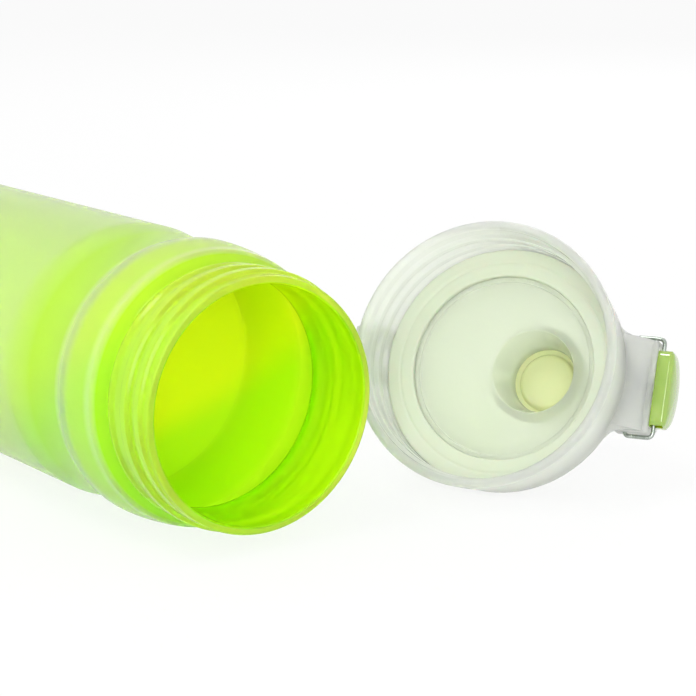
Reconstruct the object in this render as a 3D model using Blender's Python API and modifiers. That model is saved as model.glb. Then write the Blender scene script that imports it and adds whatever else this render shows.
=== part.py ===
# Sports water bottle with its flip-top screw lid taken off and set down beside it.
# The bottle lies on its side along X with its mouth towards +X.
# The lid leans on its rounded shoulder beside the mouth.
# Units are metres and +Z is up. The floor that both lie on is at Z = 0.
# Lid pieces are drawn in the lid's own frame: x towards the button, z from the open rim to the top.

import math

import bmesh
import bpy
from mathutils import Matrix, Vector

# General
GAP = 0.0003                      # clearance between pieces that touch
OVERRUN = 0.001                   # how far a cutter runs past a face
WELD = 0.000001                   # merge distance for turned shapes
BOTTLE_STEPS = 48                 # facets round the bottle
LID_STEPS = 48                    # facets round the lid
SMALL_STEPS = 28                  # facets round the spout and the seal
PIN_STEPS = 16                    # facets round pins and their holes
SMOOTH_ANGLE = math.radians(32)
FULL_TURN = math.radians(360)

# Bottle body
BODY_LENGTH = 0.225
BODY_RADIUS = 0.035
BODY_WALL = 0.0018
BASE_WALL = 0.0024
BASE_CORNER_RADIUS = 0.005
FOOT_WIDTH = 0.004
BASE_RECESS = 0.003
NECK_STEP = 0.0043                # how far the neck lies inside the body's side
NECK_WALL = 0.0020
NECK_LENGTH = 0.0180
NECK_BEAD_HEIGHT = 0.0007
NECK_BEAD_WAY = 0.0015            # from the neck's foot up to the bead under the thread
RIM_ROUND = 0.0006
SHOULDER_RUN = 0.0036             # from the neck's foot back to the shoulder's edge
SHOULDER_INSET = 0.0011           # how far that edge lies inside the body's side
RING_WIDTH = 0.0126               # band behind the shoulder
GROOVE_DEPTH = 0.00125            # how deep the finger groove is
GROOVE_WIDTH = 0.0260
RING_SHARES = (0, 0.33, 0.66, 1)
GROOVE_SHARES = (0.10, 0.24, 0.40, 0.57, 0.74, 0.89)
GROOVE_CURVE_SHARE = 0.8          # below 1 the groove falls more steeply at its edges

# Screw threads
THREAD_PITCH = 0.0060
THREAD_TURNS = 1.72
THREAD_START_DEPTH = 0.0029
THREAD_START_ANGLE = math.radians(-36)
THREAD_HEIGHT = 0.0010
THREAD_BASE_WIDTH = 0.0038
THREAD_CREST_WIDTH = 0.0020
THREAD_SINK = 0.0005              # how far a ridge is sunk in its wall
THREAD_PLAY = 0.0003              # between one thread's crest and the other's wall
THREAD_STEPS_PER_TURN = 40
THREAD_FADE_SHARE = 0.12          # share of the ridge over which each end fades out

# Screw cap
CAP_DECK_BOTTOM = 0.0195
CAP_DECK_THICKNESS = 0.0022
CAP_WELL_DEPTH = 0.0015           # from the cap's top down to the deck
CAP_RIM_WALL = 0.0024             # the skirt's wall at its open rim
CAP_SHOULDER_WALL = 0.0006
CAP_EDGE_ROUND = 0.0009
CAP_LIP_WIDTH = 0.0010            # flat part of the rim
CAP_SEAT_STEP = 0.00065           # how far the gasket's seat lies inside the threaded wall
CAP_SEAT_HEIGHT = 0.0042
CAP_RIB_WALL = 0.0012
CAP_RIB_HEIGHT = 0.0011
CAP_SWELL_SHARES = ((0.85, 0.12), (0.60, 0.42), (0.30, 0.75))

# Gasket
GASKET_WIDTH = 0.00665
GASKET_THICKNESS = 0.0019
GASKET_ROUND = 0.0005

# Spout
SPOUT_OFFSET = 0.0077             # from the lid's axis towards the button
SPOUT_HEIGHT = 0.0123             # above the deck
SPOUT_BORE_RADIUS = 0.0087
SPOUT_TIP_WALL = 0.00175
SPOUT_FLARE = 0.00245             # how much wider its root is than its tip
SPOUT_ENTRY_FLARE = 0.0021
SPOUT_STRAIGHT = 0.0040           # straight part of the bore, below the lip
SPOUT_LIP_ROUND = 0.0006
SPOUT_WAIST_SHARES = (0.5, 0.25)

# Flip cover
COVER_INSET = 0.00085             # how far its base lies inside the cap's shoulder
COVER_TAPER = 0.0059
COVER_HEADROOM = 0.0082           # from the spout's tip to the cover's top
COVER_EDGE_HEIGHT = 0.0053        # the round edge of its top
COVER_CROWN = 0.0003
COVER_WALL = 0.0018
COVER_EDGE_SHARES = ((1.00, 1.00), (0.88, 0.63), (0.65, 0.39), (0.35, 0.17))
LIP_OVERHANG = 0.0009
LIP_HALF_WIDTH = 0.0062
LIP_THICKNESS = 0.0018
LIP_ROUND = 0.0007
COLLAR_WALL = 0.0019
COLLAR_HEIGHT = 0.0033

# Latch
TONGUE_SETBACK = 0.0022           # from the button's back to the tongue
TONGUE_THICKNESS = 0.0014
TONGUE_HALF_WIDTH = 0.0040
TONGUE_DROP = 0.0050              # how far the tongue's end lies below the button's top
BARB_REACH = 0.0011
BARB_HEIGHT = 0.0014
BAR_THICKNESS = 0.0013
BAR_HEIGHT = 0.0017
BAR_HOLD = 0.0006                 # how far the button's bar reaches over the barb
ARM_WIDTH = 0.0011

# Seal
SEAL_FLANGE_OVERHANG = 0.00015
SEAL_FLANGE_THICKNESS = 0.0023
SEAL_ROUND = 0.0007
SEAL_HUB_INSET = 0.0017
SEAL_PLUG_PLAY = 0.0010
SEAL_PLUG_TAPER = 0.0007
SEAL_PLUG_DEPTH = 0.0014

# Button
BUTTON_HALF_WIDTH = 0.0101
BUTTON_HEIGHT = 0.0112
BUTTON_FLANK_HEIGHT = 0.0041      # straight part of its flanks
BUTTON_BELOW_TOP = 0.0046         # from the cover's top down to the button's round end
BUTTON_INSET = 0.0006             # how deep its back lies in the housing
BUTTON_STANDOUT = 0.0034
BUTTON_DOME = 0.0013
BUTTON_TRAVEL = 0.0015
BUTTON_CORNER = 0.0018
BUTTON_DOME_SHARES = ((1.00, 0.00), (0.975, 0.22), (0.90, 0.48), (0.72, 0.76), (0.45, 0.94), (0.18, 1.00))

# Button housing
HOUSING_STANDOUT = 0.00625        # beyond the cap's shoulder
HOUSING_BITE = 0.00345            # how far it reaches inside the shoulder before it is trimmed
HOUSING_WALL = 0.0017
POCKET_DEPTH = 0.0059
HOUSING_FLARE = 0.0050            # how far its foot spreads to each side
HOUSING_FOOT_DROP = 0.0047        # how far its foot runs down the skirt
HOUSING_ROUND = 0.0009
FLARE_SHARES = (0, 0.25, 0.5, 0.75, 1)
FLARE_WAIST_SHARE = 0.75          # share of the flare that is left at the skirt's shoulder

# Button spring
BSPRING_RADIUS = 0.0025
BSPRING_WIRE_RADIUS = 0.00030
BSPRING_TURNS = 4
BSPRING_RAISE = 0.0029            # its axis above the button's straight edge
COIL_STEPS = 10                   # points in a turn of either spring

# Button wires: one down each flank of the housing. Their bent ends keep the button in.
RETAINER_RADIUS = 0.00055
RETAINER_LENGTH = 0.00725
RETAINER_RAISE = 0.0015           # above the button's straight edge
RETAINER_BEND = 0.0016
RETAINER_GRIP = 0.0013            # how far the front ends reach into the button
RETAINER_ROOT_GRIP = 0.0018       # how far the rear ends reach into the housing

# Hinge
HINGE_STANDOUT = 0.0042           # the pin's axis beyond the cap's rim
HINGE_DROP = 0.0042               # the pin's axis below the cap's top
KNUCKLE_RADIUS = 0.0034
KNUCKLE_WIDTH = 0.0020
PIN_RADIUS = 0.0012
PIN_ROUND = 0.0003
PIN_STANDOUT = 0.0005
LUG_OUTER = 0.0075
LUG_WIDTH = 0.0023
WEB_HEIGHT = 0.0048               # how far the cover's webs run up its side
BRIDGE_AHEAD = 0.0027             # from the pin's axis to the face that the spring pushes on
BRIDGE_THICKNESS = 0.0011
BRIDGE_RAISE = 0.0030             # its lower edge above the pin's axis
BRIDGE_HEIGHT = 0.0014

# Cover spring
CSPRING_WIRE_RADIUS = 0.00035
CSPRING_RADIUS = 0.0023
CSPRING_TURNS = 3
CSPRING_SELF_GAP = 0.00045
CSPRING_FOOT_DROP = 0.0048        # where its lower leg meets the skirt, below the pin's axis

# How the lid lies
LID_TILT = math.radians(24)       # its open rim faces up by this much
LID_HEADING = math.radians(32.3)  # the button's direction, from +X towards +Y
LID_BEHIND_MOUTH = 0.0063         # rim's centre behind the mouth along X
LID_ASIDE = 0.0693                # rim's centre beside the bottle's axis

# Sizes that follow: the bottle
NECK_RADIUS = BODY_RADIUS - NECK_STEP
NECK_BORE_RADIUS = NECK_RADIUS - NECK_WALL
NECK_CREST = NECK_RADIUS + THREAD_HEIGHT
SHOULDER_EDGE_RADIUS = BODY_RADIUS - SHOULDER_INSET
SHOULDER_EDGE_DEPTH = NECK_LENGTH + SHOULDER_RUN
RING_END_DEPTH = SHOULDER_EDGE_DEPTH + RING_WIDTH

# Sizes that follow: the cap, its spout and the seal
CAP_DECK_TOP = CAP_DECK_BOTTOM + CAP_DECK_THICKNESS
CAP_HEIGHT = CAP_DECK_TOP + CAP_WELL_DEPTH
CAP_BORE = NECK_CREST + THREAD_PLAY
CAP_RIM_RADIUS = CAP_BORE + CAP_RIM_WALL
CAP_SEAT_LOW = CAP_DECK_BOTTOM - CAP_SEAT_HEIGHT
CAP_SEAT_RADIUS = CAP_BORE - CAP_SEAT_STEP
CAP_SHOULDER_RADIUS = CAP_SEAT_RADIUS + CAP_SHOULDER_WALL
CAP_RIB_RADIUS = CAP_SEAT_RADIUS - GASKET_WIDTH - 2 * GAP
CAP_WELL_RADIUS = CAP_SHOULDER_RADIUS - COVER_INSET - COVER_WALL - GAP
SPOUT_TOP = CAP_DECK_TOP + SPOUT_HEIGHT
SPOUT_THROAT = SPOUT_TOP - SPOUT_STRAIGHT
SPOUT_TIP_RADIUS = SPOUT_BORE_RADIUS + SPOUT_TIP_WALL
SPOUT_ROOT_RADIUS = SPOUT_TIP_RADIUS + SPOUT_FLARE
SPOUT_ENTRY_RADIUS = SPOUT_BORE_RADIUS + SPOUT_ENTRY_FLARE
SEAL_FLANGE_RADIUS = SPOUT_TIP_RADIUS + SEAL_FLANGE_OVERHANG
SEAL_PLUG_RADIUS = SPOUT_BORE_RADIUS - SEAL_PLUG_PLAY
SEAL_TIP_RADIUS = SEAL_PLUG_RADIUS - SEAL_PLUG_TAPER
SEAL_HUB_RADIUS = SEAL_PLUG_RADIUS - SEAL_HUB_INSET

# Sizes that follow: the cover
COVER_BASE = CAP_HEIGHT + GAP
COVER_BASE_RADIUS = CAP_SHOULDER_RADIUS - COVER_INSET
COVER_TOP_RADIUS = COVER_BASE_RADIUS - COVER_TAPER
COVER_TOP = SPOUT_TOP + COVER_HEADROOM
COVER_SIDE_TOP = COVER_TOP - COVER_EDGE_HEIGHT
COVER_SLOPE = COVER_TAPER / (COVER_SIDE_TOP - COVER_BASE)
CEILING = COVER_TOP - COVER_WALL

# Sizes that follow: the button, its housing and the latch
BUTTON_FAR = COVER_TOP - BUTTON_BELOW_TOP
BUTTON_NEAR = BUTTON_FAR - BUTTON_HEIGHT
BUTTON_FLANK = BUTTON_NEAR + BUTTON_FLANK_HEIGHT
HOUSING_END = CAP_SHOULDER_RADIUS + HOUSING_STANDOUT
HOUSING_ROOT = CAP_SHOULDER_RADIUS - HOUSING_BITE
HOUSING_FLOOR = HOUSING_END - POCKET_DEPTH
HOUSING_HALF = BUTTON_HALF_WIDTH + GAP + HOUSING_WALL
HOUSING_NEAR = BUTTON_NEAR - GAP - HOUSING_WALL
HOUSING_FAR = BUTTON_FAR + GAP + HOUSING_WALL
HOUSING_FOOT_LOW = CAP_HEIGHT - HOUSING_FOOT_DROP
HOUSING_FLANK = HOUSING_HALF - GAP
BUTTON_BACK = HOUSING_END - BUTTON_INSET
BUTTON_FACE = HOUSING_END + BUTTON_STANDOUT
TONGUE_OUTER = BUTTON_BACK - TONGUE_SETBACK
TONGUE_INNER = TONGUE_OUTER - TONGUE_THICKNESS
TONGUE_END = BUTTON_FAR - TONGUE_DROP
BARB_TOP = TONGUE_END + BARB_HEIGHT
BAR_OUTER = TONGUE_INNER - BARB_REACH + BAR_HOLD
BAR_INNER = BAR_OUTER - BAR_THICKNESS
BAR_LOW = BARB_TOP + GAP
BAR_HIGH = BAR_LOW + BAR_HEIGHT
ARM_INNER = TONGUE_HALF_WIDTH + 2 * GAP
ARM_OUTER = ARM_INNER + ARM_WIDTH
LIP_REACH = TONGUE_OUTER + LIP_OVERHANG
LIP_BOTTOM = HOUSING_FAR + GAP
LIP_TOP = LIP_BOTTOM + LIP_THICKNESS
BSPRING_HEIGHT = BUTTON_NEAR + BSPRING_RAISE
RETAINER_HOLE = RETAINER_RADIUS + GAP
RETAINER_X = HOUSING_END + RETAINER_HOLE
RETAINER_ROOT_X = RETAINER_X - RETAINER_LENGTH
RETAINER_Y = HOUSING_HALF + RETAINER_HOLE
RETAINER_Z = BUTTON_NEAR + RETAINER_RAISE

# Sizes that follow: the hinge, and how high the lid's rim lies
HINGE_X = -CAP_RIM_RADIUS - HINGE_STANDOUT
HINGE_Z = CAP_HEIGHT - HINGE_DROP
PIN_HOLE = PIN_RADIUS + GAP
BRIDGE_FRONT = HINGE_X + BRIDGE_AHEAD
BRIDGE_LOW = HINGE_Z + BRIDGE_RAISE
BRIDGE_TOP = BRIDGE_LOW + BRIDGE_HEIGHT
CSPRING_FOOT_Z = HINGE_Z - CSPRING_FOOT_DROP
LID_DROP = CAP_SHOULDER_RADIUS * math.cos(LID_TILT) + (CAP_HEIGHT - CAP_EDGE_ROUND) * math.sin(LID_TILT)


def remove_old_objects():
    for old in list(bpy.data.objects):
        bpy.data.objects.remove(old, do_unlink=True)


def make_collection(name):
    group = bpy.data.collections.new(name)
    bpy.context.scene.collection.children.link(group)
    return group


def make_material(name, colour, roughness, metallic=0.0, alpha=1.0):
    mat = bpy.data.materials.new(name)
    mat.use_nodes = True
    shader = mat.node_tree.nodes["Principled BSDF"]
    shader.inputs["Base Color"].default_value = (*colour, 1.0)
    shader.inputs["Roughness"].default_value = roughness
    shader.inputs["Metallic"].default_value = metallic
    shader.inputs["Alpha"].default_value = alpha
    mat.diffuse_color = (*colour, alpha)
    return mat


def make_empty(name, parent=None, place=(0, 0, 0), turn=(0, 0, 0)):
    empty = bpy.data.objects.new(name, None)
    PART.objects.link(empty)
    empty.parent = parent
    empty.location = place
    empty.rotation_euler = turn
    return empty


def make_object(name, mesh, parent, material=None, place=(0, 0, 0)):
    """A shape with a material is a piece. One without is a cutter, or a form that is joined to a piece."""
    obj = bpy.data.objects.new(name, mesh)
    obj.parent = parent
    obj.location = place
    if material:
        PART.objects.link(obj)
        mesh.materials.append(material)
    else:
        CUTTERS.objects.link(obj)
        obj.hide_render = True
        obj.display_type = "WIRE"
    return obj


def mesh_from(work, name):
    mesh = bpy.data.meshes.new(name)
    work.to_mesh(mesh)
    work.free()
    return mesh


def arc(centre, radius, start, end, count):
    """Points of an arc between two angles in degrees, both ends included."""
    angles = [math.radians(start + (end - start) * i / count) for i in range(count + 1)]
    return [(centre[0] + radius * math.cos(a), centre[1] + radius * math.sin(a)) for a in angles]


def lathe(name, profile, parent, steps, material=None, place=(0, 0, 0)):
    """Turns a profile of (radius, height) about the object's Z axis with a Screw modifier."""
    work = bmesh.new()
    verts = [work.verts.new((r, 0, z)) for r, z in profile]
    for a, b in zip(verts[:-1], verts[1:]):
        work.edges.new((a, b))
    if min(profile[0][0], profile[-1][0]) > WELD:
        work.edges.new((verts[-1], verts[0]))
    obj = make_object(name, mesh_from(work, name), parent, material, place)
    screw = obj.modifiers.new("Turn", "SCREW")
    screw.axis = "Z"
    screw.steps = steps
    screw.render_steps = steps
    screw.use_merge_vertices = True
    screw.merge_threshold = WELD
    screw.use_smooth_shade = True
    return obj


def prism(name, outline, low, high, across, parent, material=None):
    """Extrudes an outline from low to high: of (y, z) points along X, or of (x, z) points along Y."""
    lift = {"X": lambda u, v, w: (w, u, v), "Y": lambda u, v, w: (u, w, v)}[across]
    work = bmesh.new()
    face = work.faces.new([work.verts.new(lift(u, v, low)) for u, v in outline])
    made = bmesh.ops.extrude_face_region(work, geom=[face])
    moved = [g for g in made["geom"] if isinstance(g, bmesh.types.BMVert)]
    bmesh.ops.translate(work, verts=moved, vec=Vector(lift(0, 0, high - low)))
    bmesh.ops.recalc_face_normals(work, faces=work.faces)
    return make_object(name, mesh_from(work, name), parent, material)


def block(name, low, high, parent, material=None):
    """An upright block between two corners."""
    work = bmesh.new()
    bmesh.ops.create_cube(work, size=1)
    bmesh.ops.scale(work, vec=[h - l for l, h in zip(low, high)], verts=work.verts)
    bmesh.ops.translate(work, vec=[(h + l) / 2 for l, h in zip(low, high)], verts=work.verts)
    return make_object(name, mesh_from(work, name), parent, material)


def cross_rod(name, radius, half_length, place, parent, material=None):
    """A cylinder along the y axis, centred on a place."""
    work = bmesh.new()
    turn = Matrix.Rotation(math.radians(90), 4, "X")
    bmesh.ops.create_cone(work, cap_ends=True, segments=PIN_STEPS, radius1=radius, radius2=radius,
                          depth=2 * half_length, matrix=turn)
    return make_object(name, mesh_from(work, name), parent, material, place)


def stack(name, rings, parent, material=None):
    """A closed solid through rings with as many points each, with flat ends."""
    count = len(rings[0])
    work = bmesh.new()
    layers = [[work.verts.new(p) for p in ring] for ring in rings]
    for lower, upper in zip(layers[:-1], layers[1:]):
        for i in range(count):
            j = (i + 1) % count
            work.faces.new((lower[i], lower[j], upper[j], upper[i]))
    work.faces.new(layers[0])
    work.faces.new(layers[-1])
    bmesh.ops.recalc_face_normals(work, faces=work.faces)
    return make_object(name, mesh_from(work, name), parent, material)


def wire(name, points, radius, parent, sides):
    """A round steel wire along a list of points, as a curve with filled ends."""
    curve = bpy.data.curves.new(name, "CURVE")
    curve.dimensions = "3D"
    curve.bevel_depth = radius
    curve.bevel_resolution = sides
    curve.use_fill_caps = True
    spline = curve.splines.new("POLY")
    spline.points.add(len(points) - 1)
    for slot, p in zip(spline.points, points):
        slot.co = (*p, 1.0)
    obj = bpy.data.objects.new(name, curve)
    obj.parent = parent
    curve.materials.append(STEEL)
    PART.objects.link(obj)


def join(obj, other):
    step = obj.modifiers.new("Join " + other.name, "BOOLEAN")
    step.operation = "UNION"
    step.solver = "EXACT"
    step.object = other


def cut(obj, cutter):
    step = obj.modifiers.new("Cut " + cutter.name, "BOOLEAN")
    step.operation = "DIFFERENCE"
    step.solver = "EXACT"
    step.object = cutter


def bevel(obj, width, segments, angle):
    step = obj.modifiers.new("Round", "BEVEL")
    step.width = width
    step.segments = segments
    step.limit_method = "ANGLE"
    step.angle_limit = math.radians(angle)


def least_gap(points, radius, apart):
    """The least gap between two stretches of a wire that lie some points apart along it."""
    pairs = [(p, q) for i, p in enumerate(points) for q in points[i + apart:]]
    return min((Vector(p) - Vector(q)).length for p, q in pairs) - 2 * radius


def rounded_path(corners, radius, count=4):
    """A path through corners, each of them rounded by a small bend."""
    points = [Vector(corners[0])]
    for before, corner, after in zip(corners[:-2], corners[1:-1], corners[2:]):
        middle = Vector(corner)
        start = middle - (middle - Vector(before)).normalized() * radius
        end = middle + (Vector(after) - middle).normalized() * radius
        for i in range(count + 1):
            t = i / count
            points.append(start * (1 - t) ** 2 + middle * 2 * t * (1 - t) + end * t ** 2)
    points.append(Vector(corners[-1]))
    return [tuple(p) for p in points]


def thread_ridge(name, wall, outward, top, parent):
    """A right-hand ridge down a wall from a height. It is sunk in the wall and fades out at both ends."""
    count = round(THREAD_TURNS * THREAD_STEPS_PER_TURN)
    rings = []
    for i in range(count + 1):
        share = i / count
        fade = math.sin(min(1, share / THREAD_FADE_SHARE, (1 - share) / THREAD_FADE_SHARE) * math.pi / 2)
        angle = THREAD_START_ANGLE - FULL_TURN * THREAD_TURNS * share
        height = top - THREAD_PITCH * THREAD_TURNS * share
        inner = wall - outward * THREAD_SINK
        outer = wall + outward * (THREAD_HEIGHT * fade - THREAD_SINK / 2 * (1 - fade))
        base = THREAD_BASE_WIDTH / 2 * (1 + fade) / 2
        crest = THREAD_CREST_WIDTH / 2 * (1 + fade) / 2
        section = ((inner, -base), (outer, -crest), (outer, crest), (inner, base))
        rings.append([(r * math.cos(angle), r * math.sin(angle), height + dz) for r, dz in section])
    return stack(name, rings, parent)


def make_bottle():
    """The bottle is drawn upright, with its base at zero, and its frame lays it down along +X."""
    frame = make_empty("bottle_frame", ORIGIN, (0, 0, BODY_RADIUS), (0, math.radians(90), 0))
    bead = NECK_RADIUS + NECK_BEAD_HEIGHT
    bead_z = BODY_LENGTH - NECK_LENGTH + NECK_BEAD_WAY
    shoulder_z = BODY_LENGTH - SHOULDER_EDGE_DEPTH
    groove_z = BODY_LENGTH - RING_END_DEPTH
    ring = []
    for share in RING_SHARES:
        swell = (BODY_RADIUS - SHOULDER_EDGE_RADIUS) * math.sin(share * math.pi / 2)
        ring.append((SHOULDER_EDGE_RADIUS + swell, shoulder_z + (groove_z - shoulder_z) * share))
    groove = []
    for share in GROOVE_SHARES:
        dip = GROOVE_DEPTH * math.sin(math.pi * share ** GROOVE_CURVE_SHARE) ** GROOVE_CURVE_SHARE
        groove.append((BODY_RADIUS - dip, groove_z - GROOVE_WIDTH * share))
    groove.append((BODY_RADIUS, groove_z - GROOVE_WIDTH))
    outside = [
        (NECK_RADIUS - RIM_ROUND, BODY_LENGTH),
        (NECK_RADIUS, BODY_LENGTH - RIM_ROUND),
        (NECK_RADIUS, bead_z + 2 * NECK_BEAD_HEIGHT),
        (bead, bead_z + NECK_BEAD_HEIGHT / 2),
        (bead, bead_z - NECK_BEAD_HEIGHT / 2),
        (NECK_RADIUS, BODY_LENGTH - NECK_LENGTH),
    ]
    outside += ring + groove
    corner_r = BODY_RADIUS - BASE_CORNER_RADIUS
    foot_r = corner_r - FOOT_WIDTH
    dish_r = foot_r - 2 * BASE_RECESS
    outside += arc((corner_r, BASE_CORNER_RADIUS), BASE_CORNER_RADIUS, 0, -90, 4)
    outside += [(foot_r, 0), (dish_r, BASE_RECESS), (0, BASE_RECESS)]
    inner_corner = BASE_CORNER_RADIUS - BODY_WALL
    inside = [(0, BASE_RECESS + BASE_WALL), (dish_r, BASE_RECESS + BASE_WALL)]
    inside += arc((corner_r, BASE_WALL + inner_corner), inner_corner, -90, 0, 3)
    inside += [(r - BODY_WALL, z) for r, z in reversed(groove)]
    # The inner wall draws in to the neck one wall's thickness below the shoulder.
    for (r, z), share in zip(reversed(ring), reversed(RING_SHARES)):
        inside.append((r - BODY_WALL, z - BODY_WALL * (1 - share)))
    inside += [
        (NECK_BORE_RADIUS + RIM_ROUND, shoulder_z - BODY_WALL),
        (NECK_BORE_RADIUS, shoulder_z),
        (NECK_BORE_RADIUS, BODY_LENGTH - RIM_ROUND),
        (NECK_BORE_RADIUS + RIM_ROUND, BODY_LENGTH),
    ]
    body = lathe("bottle_body", inside + outside, frame, BOTTLE_STEPS, LIME)
    join(body, thread_ridge("bottle_thread", NECK_RADIUS, 1, BODY_LENGTH - THREAD_START_DEPTH, frame))
    return frame


def cap_shell(frame):
    """The threaded skirt with its deck, the gasket's seat and the rib that centres the gasket."""
    swell = CAP_RIM_RADIUS - CAP_SHOULDER_RADIUS
    skirt_top = CAP_HEIGHT - CAP_EDGE_ROUND
    lip = CAP_RIM_RADIUS - CAP_EDGE_ROUND
    rib_low = CAP_DECK_BOTTOM - CAP_RIB_HEIGHT
    profile = [(0, CAP_DECK_TOP), (CAP_WELL_RADIUS, CAP_DECK_TOP), (CAP_WELL_RADIUS, CAP_HEIGHT)]
    profile += [(CAP_SHOULDER_RADIUS - CAP_EDGE_ROUND, CAP_HEIGHT), (CAP_SHOULDER_RADIUS, skirt_top)]
    profile += [(CAP_SHOULDER_RADIUS + swell * out, skirt_top * up) for up, out in CAP_SWELL_SHARES]
    profile += [(CAP_RIM_RADIUS, CAP_EDGE_ROUND), (lip, 0), (lip - CAP_LIP_WIDTH, 0)]
    profile += [(CAP_BORE, CAP_EDGE_ROUND / 2)]
    profile += [(CAP_BORE, CAP_SEAT_LOW), (CAP_SEAT_RADIUS, CAP_SEAT_LOW + CAP_EDGE_ROUND)]
    rib_inner = CAP_RIB_RADIUS - CAP_RIB_WALL
    profile += [(CAP_SEAT_RADIUS, CAP_DECK_BOTTOM), (CAP_RIB_RADIUS, CAP_DECK_BOTTOM)]
    profile += [(CAP_RIB_RADIUS, rib_low), (rib_inner, rib_low), (rib_inner, CAP_DECK_BOTTOM)]
    profile += [(0, CAP_DECK_BOTTOM)]
    cap = lathe("screw_cap", profile, frame, LID_STEPS, WHITE)
    join(cap, thread_ridge("cap_thread", CAP_BORE, -1, CAP_SEAT_LOW - THREAD_BASE_WIDTH / 2, frame))
    return cap


def add_spout(cap, frame):
    """A solid cone on the deck. Its bore is cut once all else has joined the cap."""
    place = (SPOUT_OFFSET, 0, 0)
    sunk = CAP_DECK_TOP - CAP_DECK_THICKNESS / 2
    up, out = SPOUT_WAIST_SHARES
    waist_r = SPOUT_TIP_RADIUS + (SPOUT_ROOT_RADIUS - SPOUT_TIP_RADIUS) * out
    waist_z = CAP_DECK_TOP + (SPOUT_TOP - CAP_DECK_TOP) * up
    profile = [(0, SPOUT_TOP), (SPOUT_TIP_RADIUS - SPOUT_LIP_ROUND, SPOUT_TOP)]
    profile += [(SPOUT_TIP_RADIUS, SPOUT_TOP - SPOUT_LIP_ROUND), (waist_r, waist_z)]
    profile += [(SPOUT_ROOT_RADIUS, CAP_DECK_TOP), (SPOUT_ROOT_RADIUS, sunk), (0, sunk)]
    join(cap, lathe("spout_form", profile, frame, SMALL_STEPS, place=place))


def cut_spout_bore(cap, frame):
    flared = SPOUT_BORE_RADIUS + SPOUT_LIP_ROUND
    profile = [(0, SPOUT_TOP + OVERRUN), (flared, SPOUT_TOP + OVERRUN), (flared, SPOUT_TOP)]
    profile += [(SPOUT_BORE_RADIUS, SPOUT_TOP - SPOUT_LIP_ROUND), (SPOUT_BORE_RADIUS, SPOUT_THROAT)]
    profile += [(SPOUT_ENTRY_RADIUS, CAP_DECK_BOTTOM), (SPOUT_ENTRY_RADIUS, CAP_DECK_BOTTOM - OVERRUN)]
    profile += [(0, CAP_DECK_BOTTOM - OVERRUN)]
    cut(cap, lathe("spout_bore", profile, frame, SMALL_STEPS, place=(SPOUT_OFFSET, 0, 0)))


def d_outline(near, flank, far, half, corner):
    """A D of (y, z) points: straight at near and along its flanks, with half an ellipse up to far."""
    start = arc((-half + corner, near + corner), corner, 180, 270, 3)
    end = [(-y, z) for y, z in reversed(start)]
    crown = [(half * x, flank + (far - flank) * z) for x, z in arc((0, 0), 1, 0, 180, 8)]
    return start + end + crown


def housing_foot(frame):
    """The foot under the housing. Its flanks leave the skirt's wall along it and bend into the housing's."""
    wall = CAP_SEAT_RADIUS + CAP_SHOULDER_WALL / 2
    flush = math.sqrt(CAP_SHOULDER_RADIUS ** 2 - HOUSING_FLANK ** 2)
    levels = (
        (HOUSING_FOOT_LOW, wall, flush, HOUSING_FLARE),
        (CAP_HEIGHT - CAP_EDGE_ROUND, wall, (CAP_SHOULDER_RADIUS + HOUSING_END) / 2,
         HOUSING_FLARE * FLARE_WAIST_SHARE),
        (HOUSING_NEAR + HOUSING_WALL - GAP, COVER_BASE_RADIUS, HOUSING_END - HOUSING_ROUND, GAP),
    )
    rings = []
    for z, radius, reach, spread in levels:
        y = HOUSING_FLANK + spread
        x = math.sqrt(radius ** 2 - y ** 2)
        start = Vector((x, y))
        bend = Vector((x + spread * y / x, HOUSING_FLANK))
        end = Vector((reach, HOUSING_FLANK))
        flank = [start * (1 - t) ** 2 + bend * 2 * t * (1 - t) + end * t ** 2 for t in FLARE_SHARES]
        rings.append([(p.x, -p.y, z) for p in flank] + [(p.x, p.y, z) for p in reversed(flank)])
    return stack("housing_foot", rings, frame)


def cut_button_seat(barrel, frame):
    """The button's pocket, the slot for its bar, the window for the cover's tongue and the wires' holes."""
    half = BUTTON_HALF_WIDTH + GAP
    outline = d_outline(BUTTON_NEAR - GAP, BUTTON_FLANK, BUTTON_FAR + GAP, half, BUTTON_CORNER)
    cut(barrel, prism("button_pocket", outline, HOUSING_FLOOR, HOUSING_END + OVERRUN, "X", frame))
    pressed = BAR_INNER - BUTTON_TRAVEL - GAP
    cut(barrel, block("bar_slot", (pressed, -ARM_OUTER - GAP, BAR_LOW - GAP),
                      (HOUSING_FLOOR + OVERRUN, ARM_OUTER + GAP, BAR_HIGH + GAP), frame))
    window = TONGUE_HALF_WIDTH + GAP
    cut(barrel, block("tongue_window", (HOUSING_ROOT, -window, BAR_LOW),
                      (TONGUE_OUTER + GAP, window, HOUSING_FAR + OVERRUN), frame))
    for side in (-1, 1):
        length = RETAINER_ROOT_GRIP + GAP + OVERRUN
        middle = side * (HOUSING_HALF + OVERRUN - length / 2)
        place = (RETAINER_ROOT_X, middle, RETAINER_Z)
        cut(barrel, cross_rod("wire_hole_%d" % side, RETAINER_HOLE, length / 2, place, frame))


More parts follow.
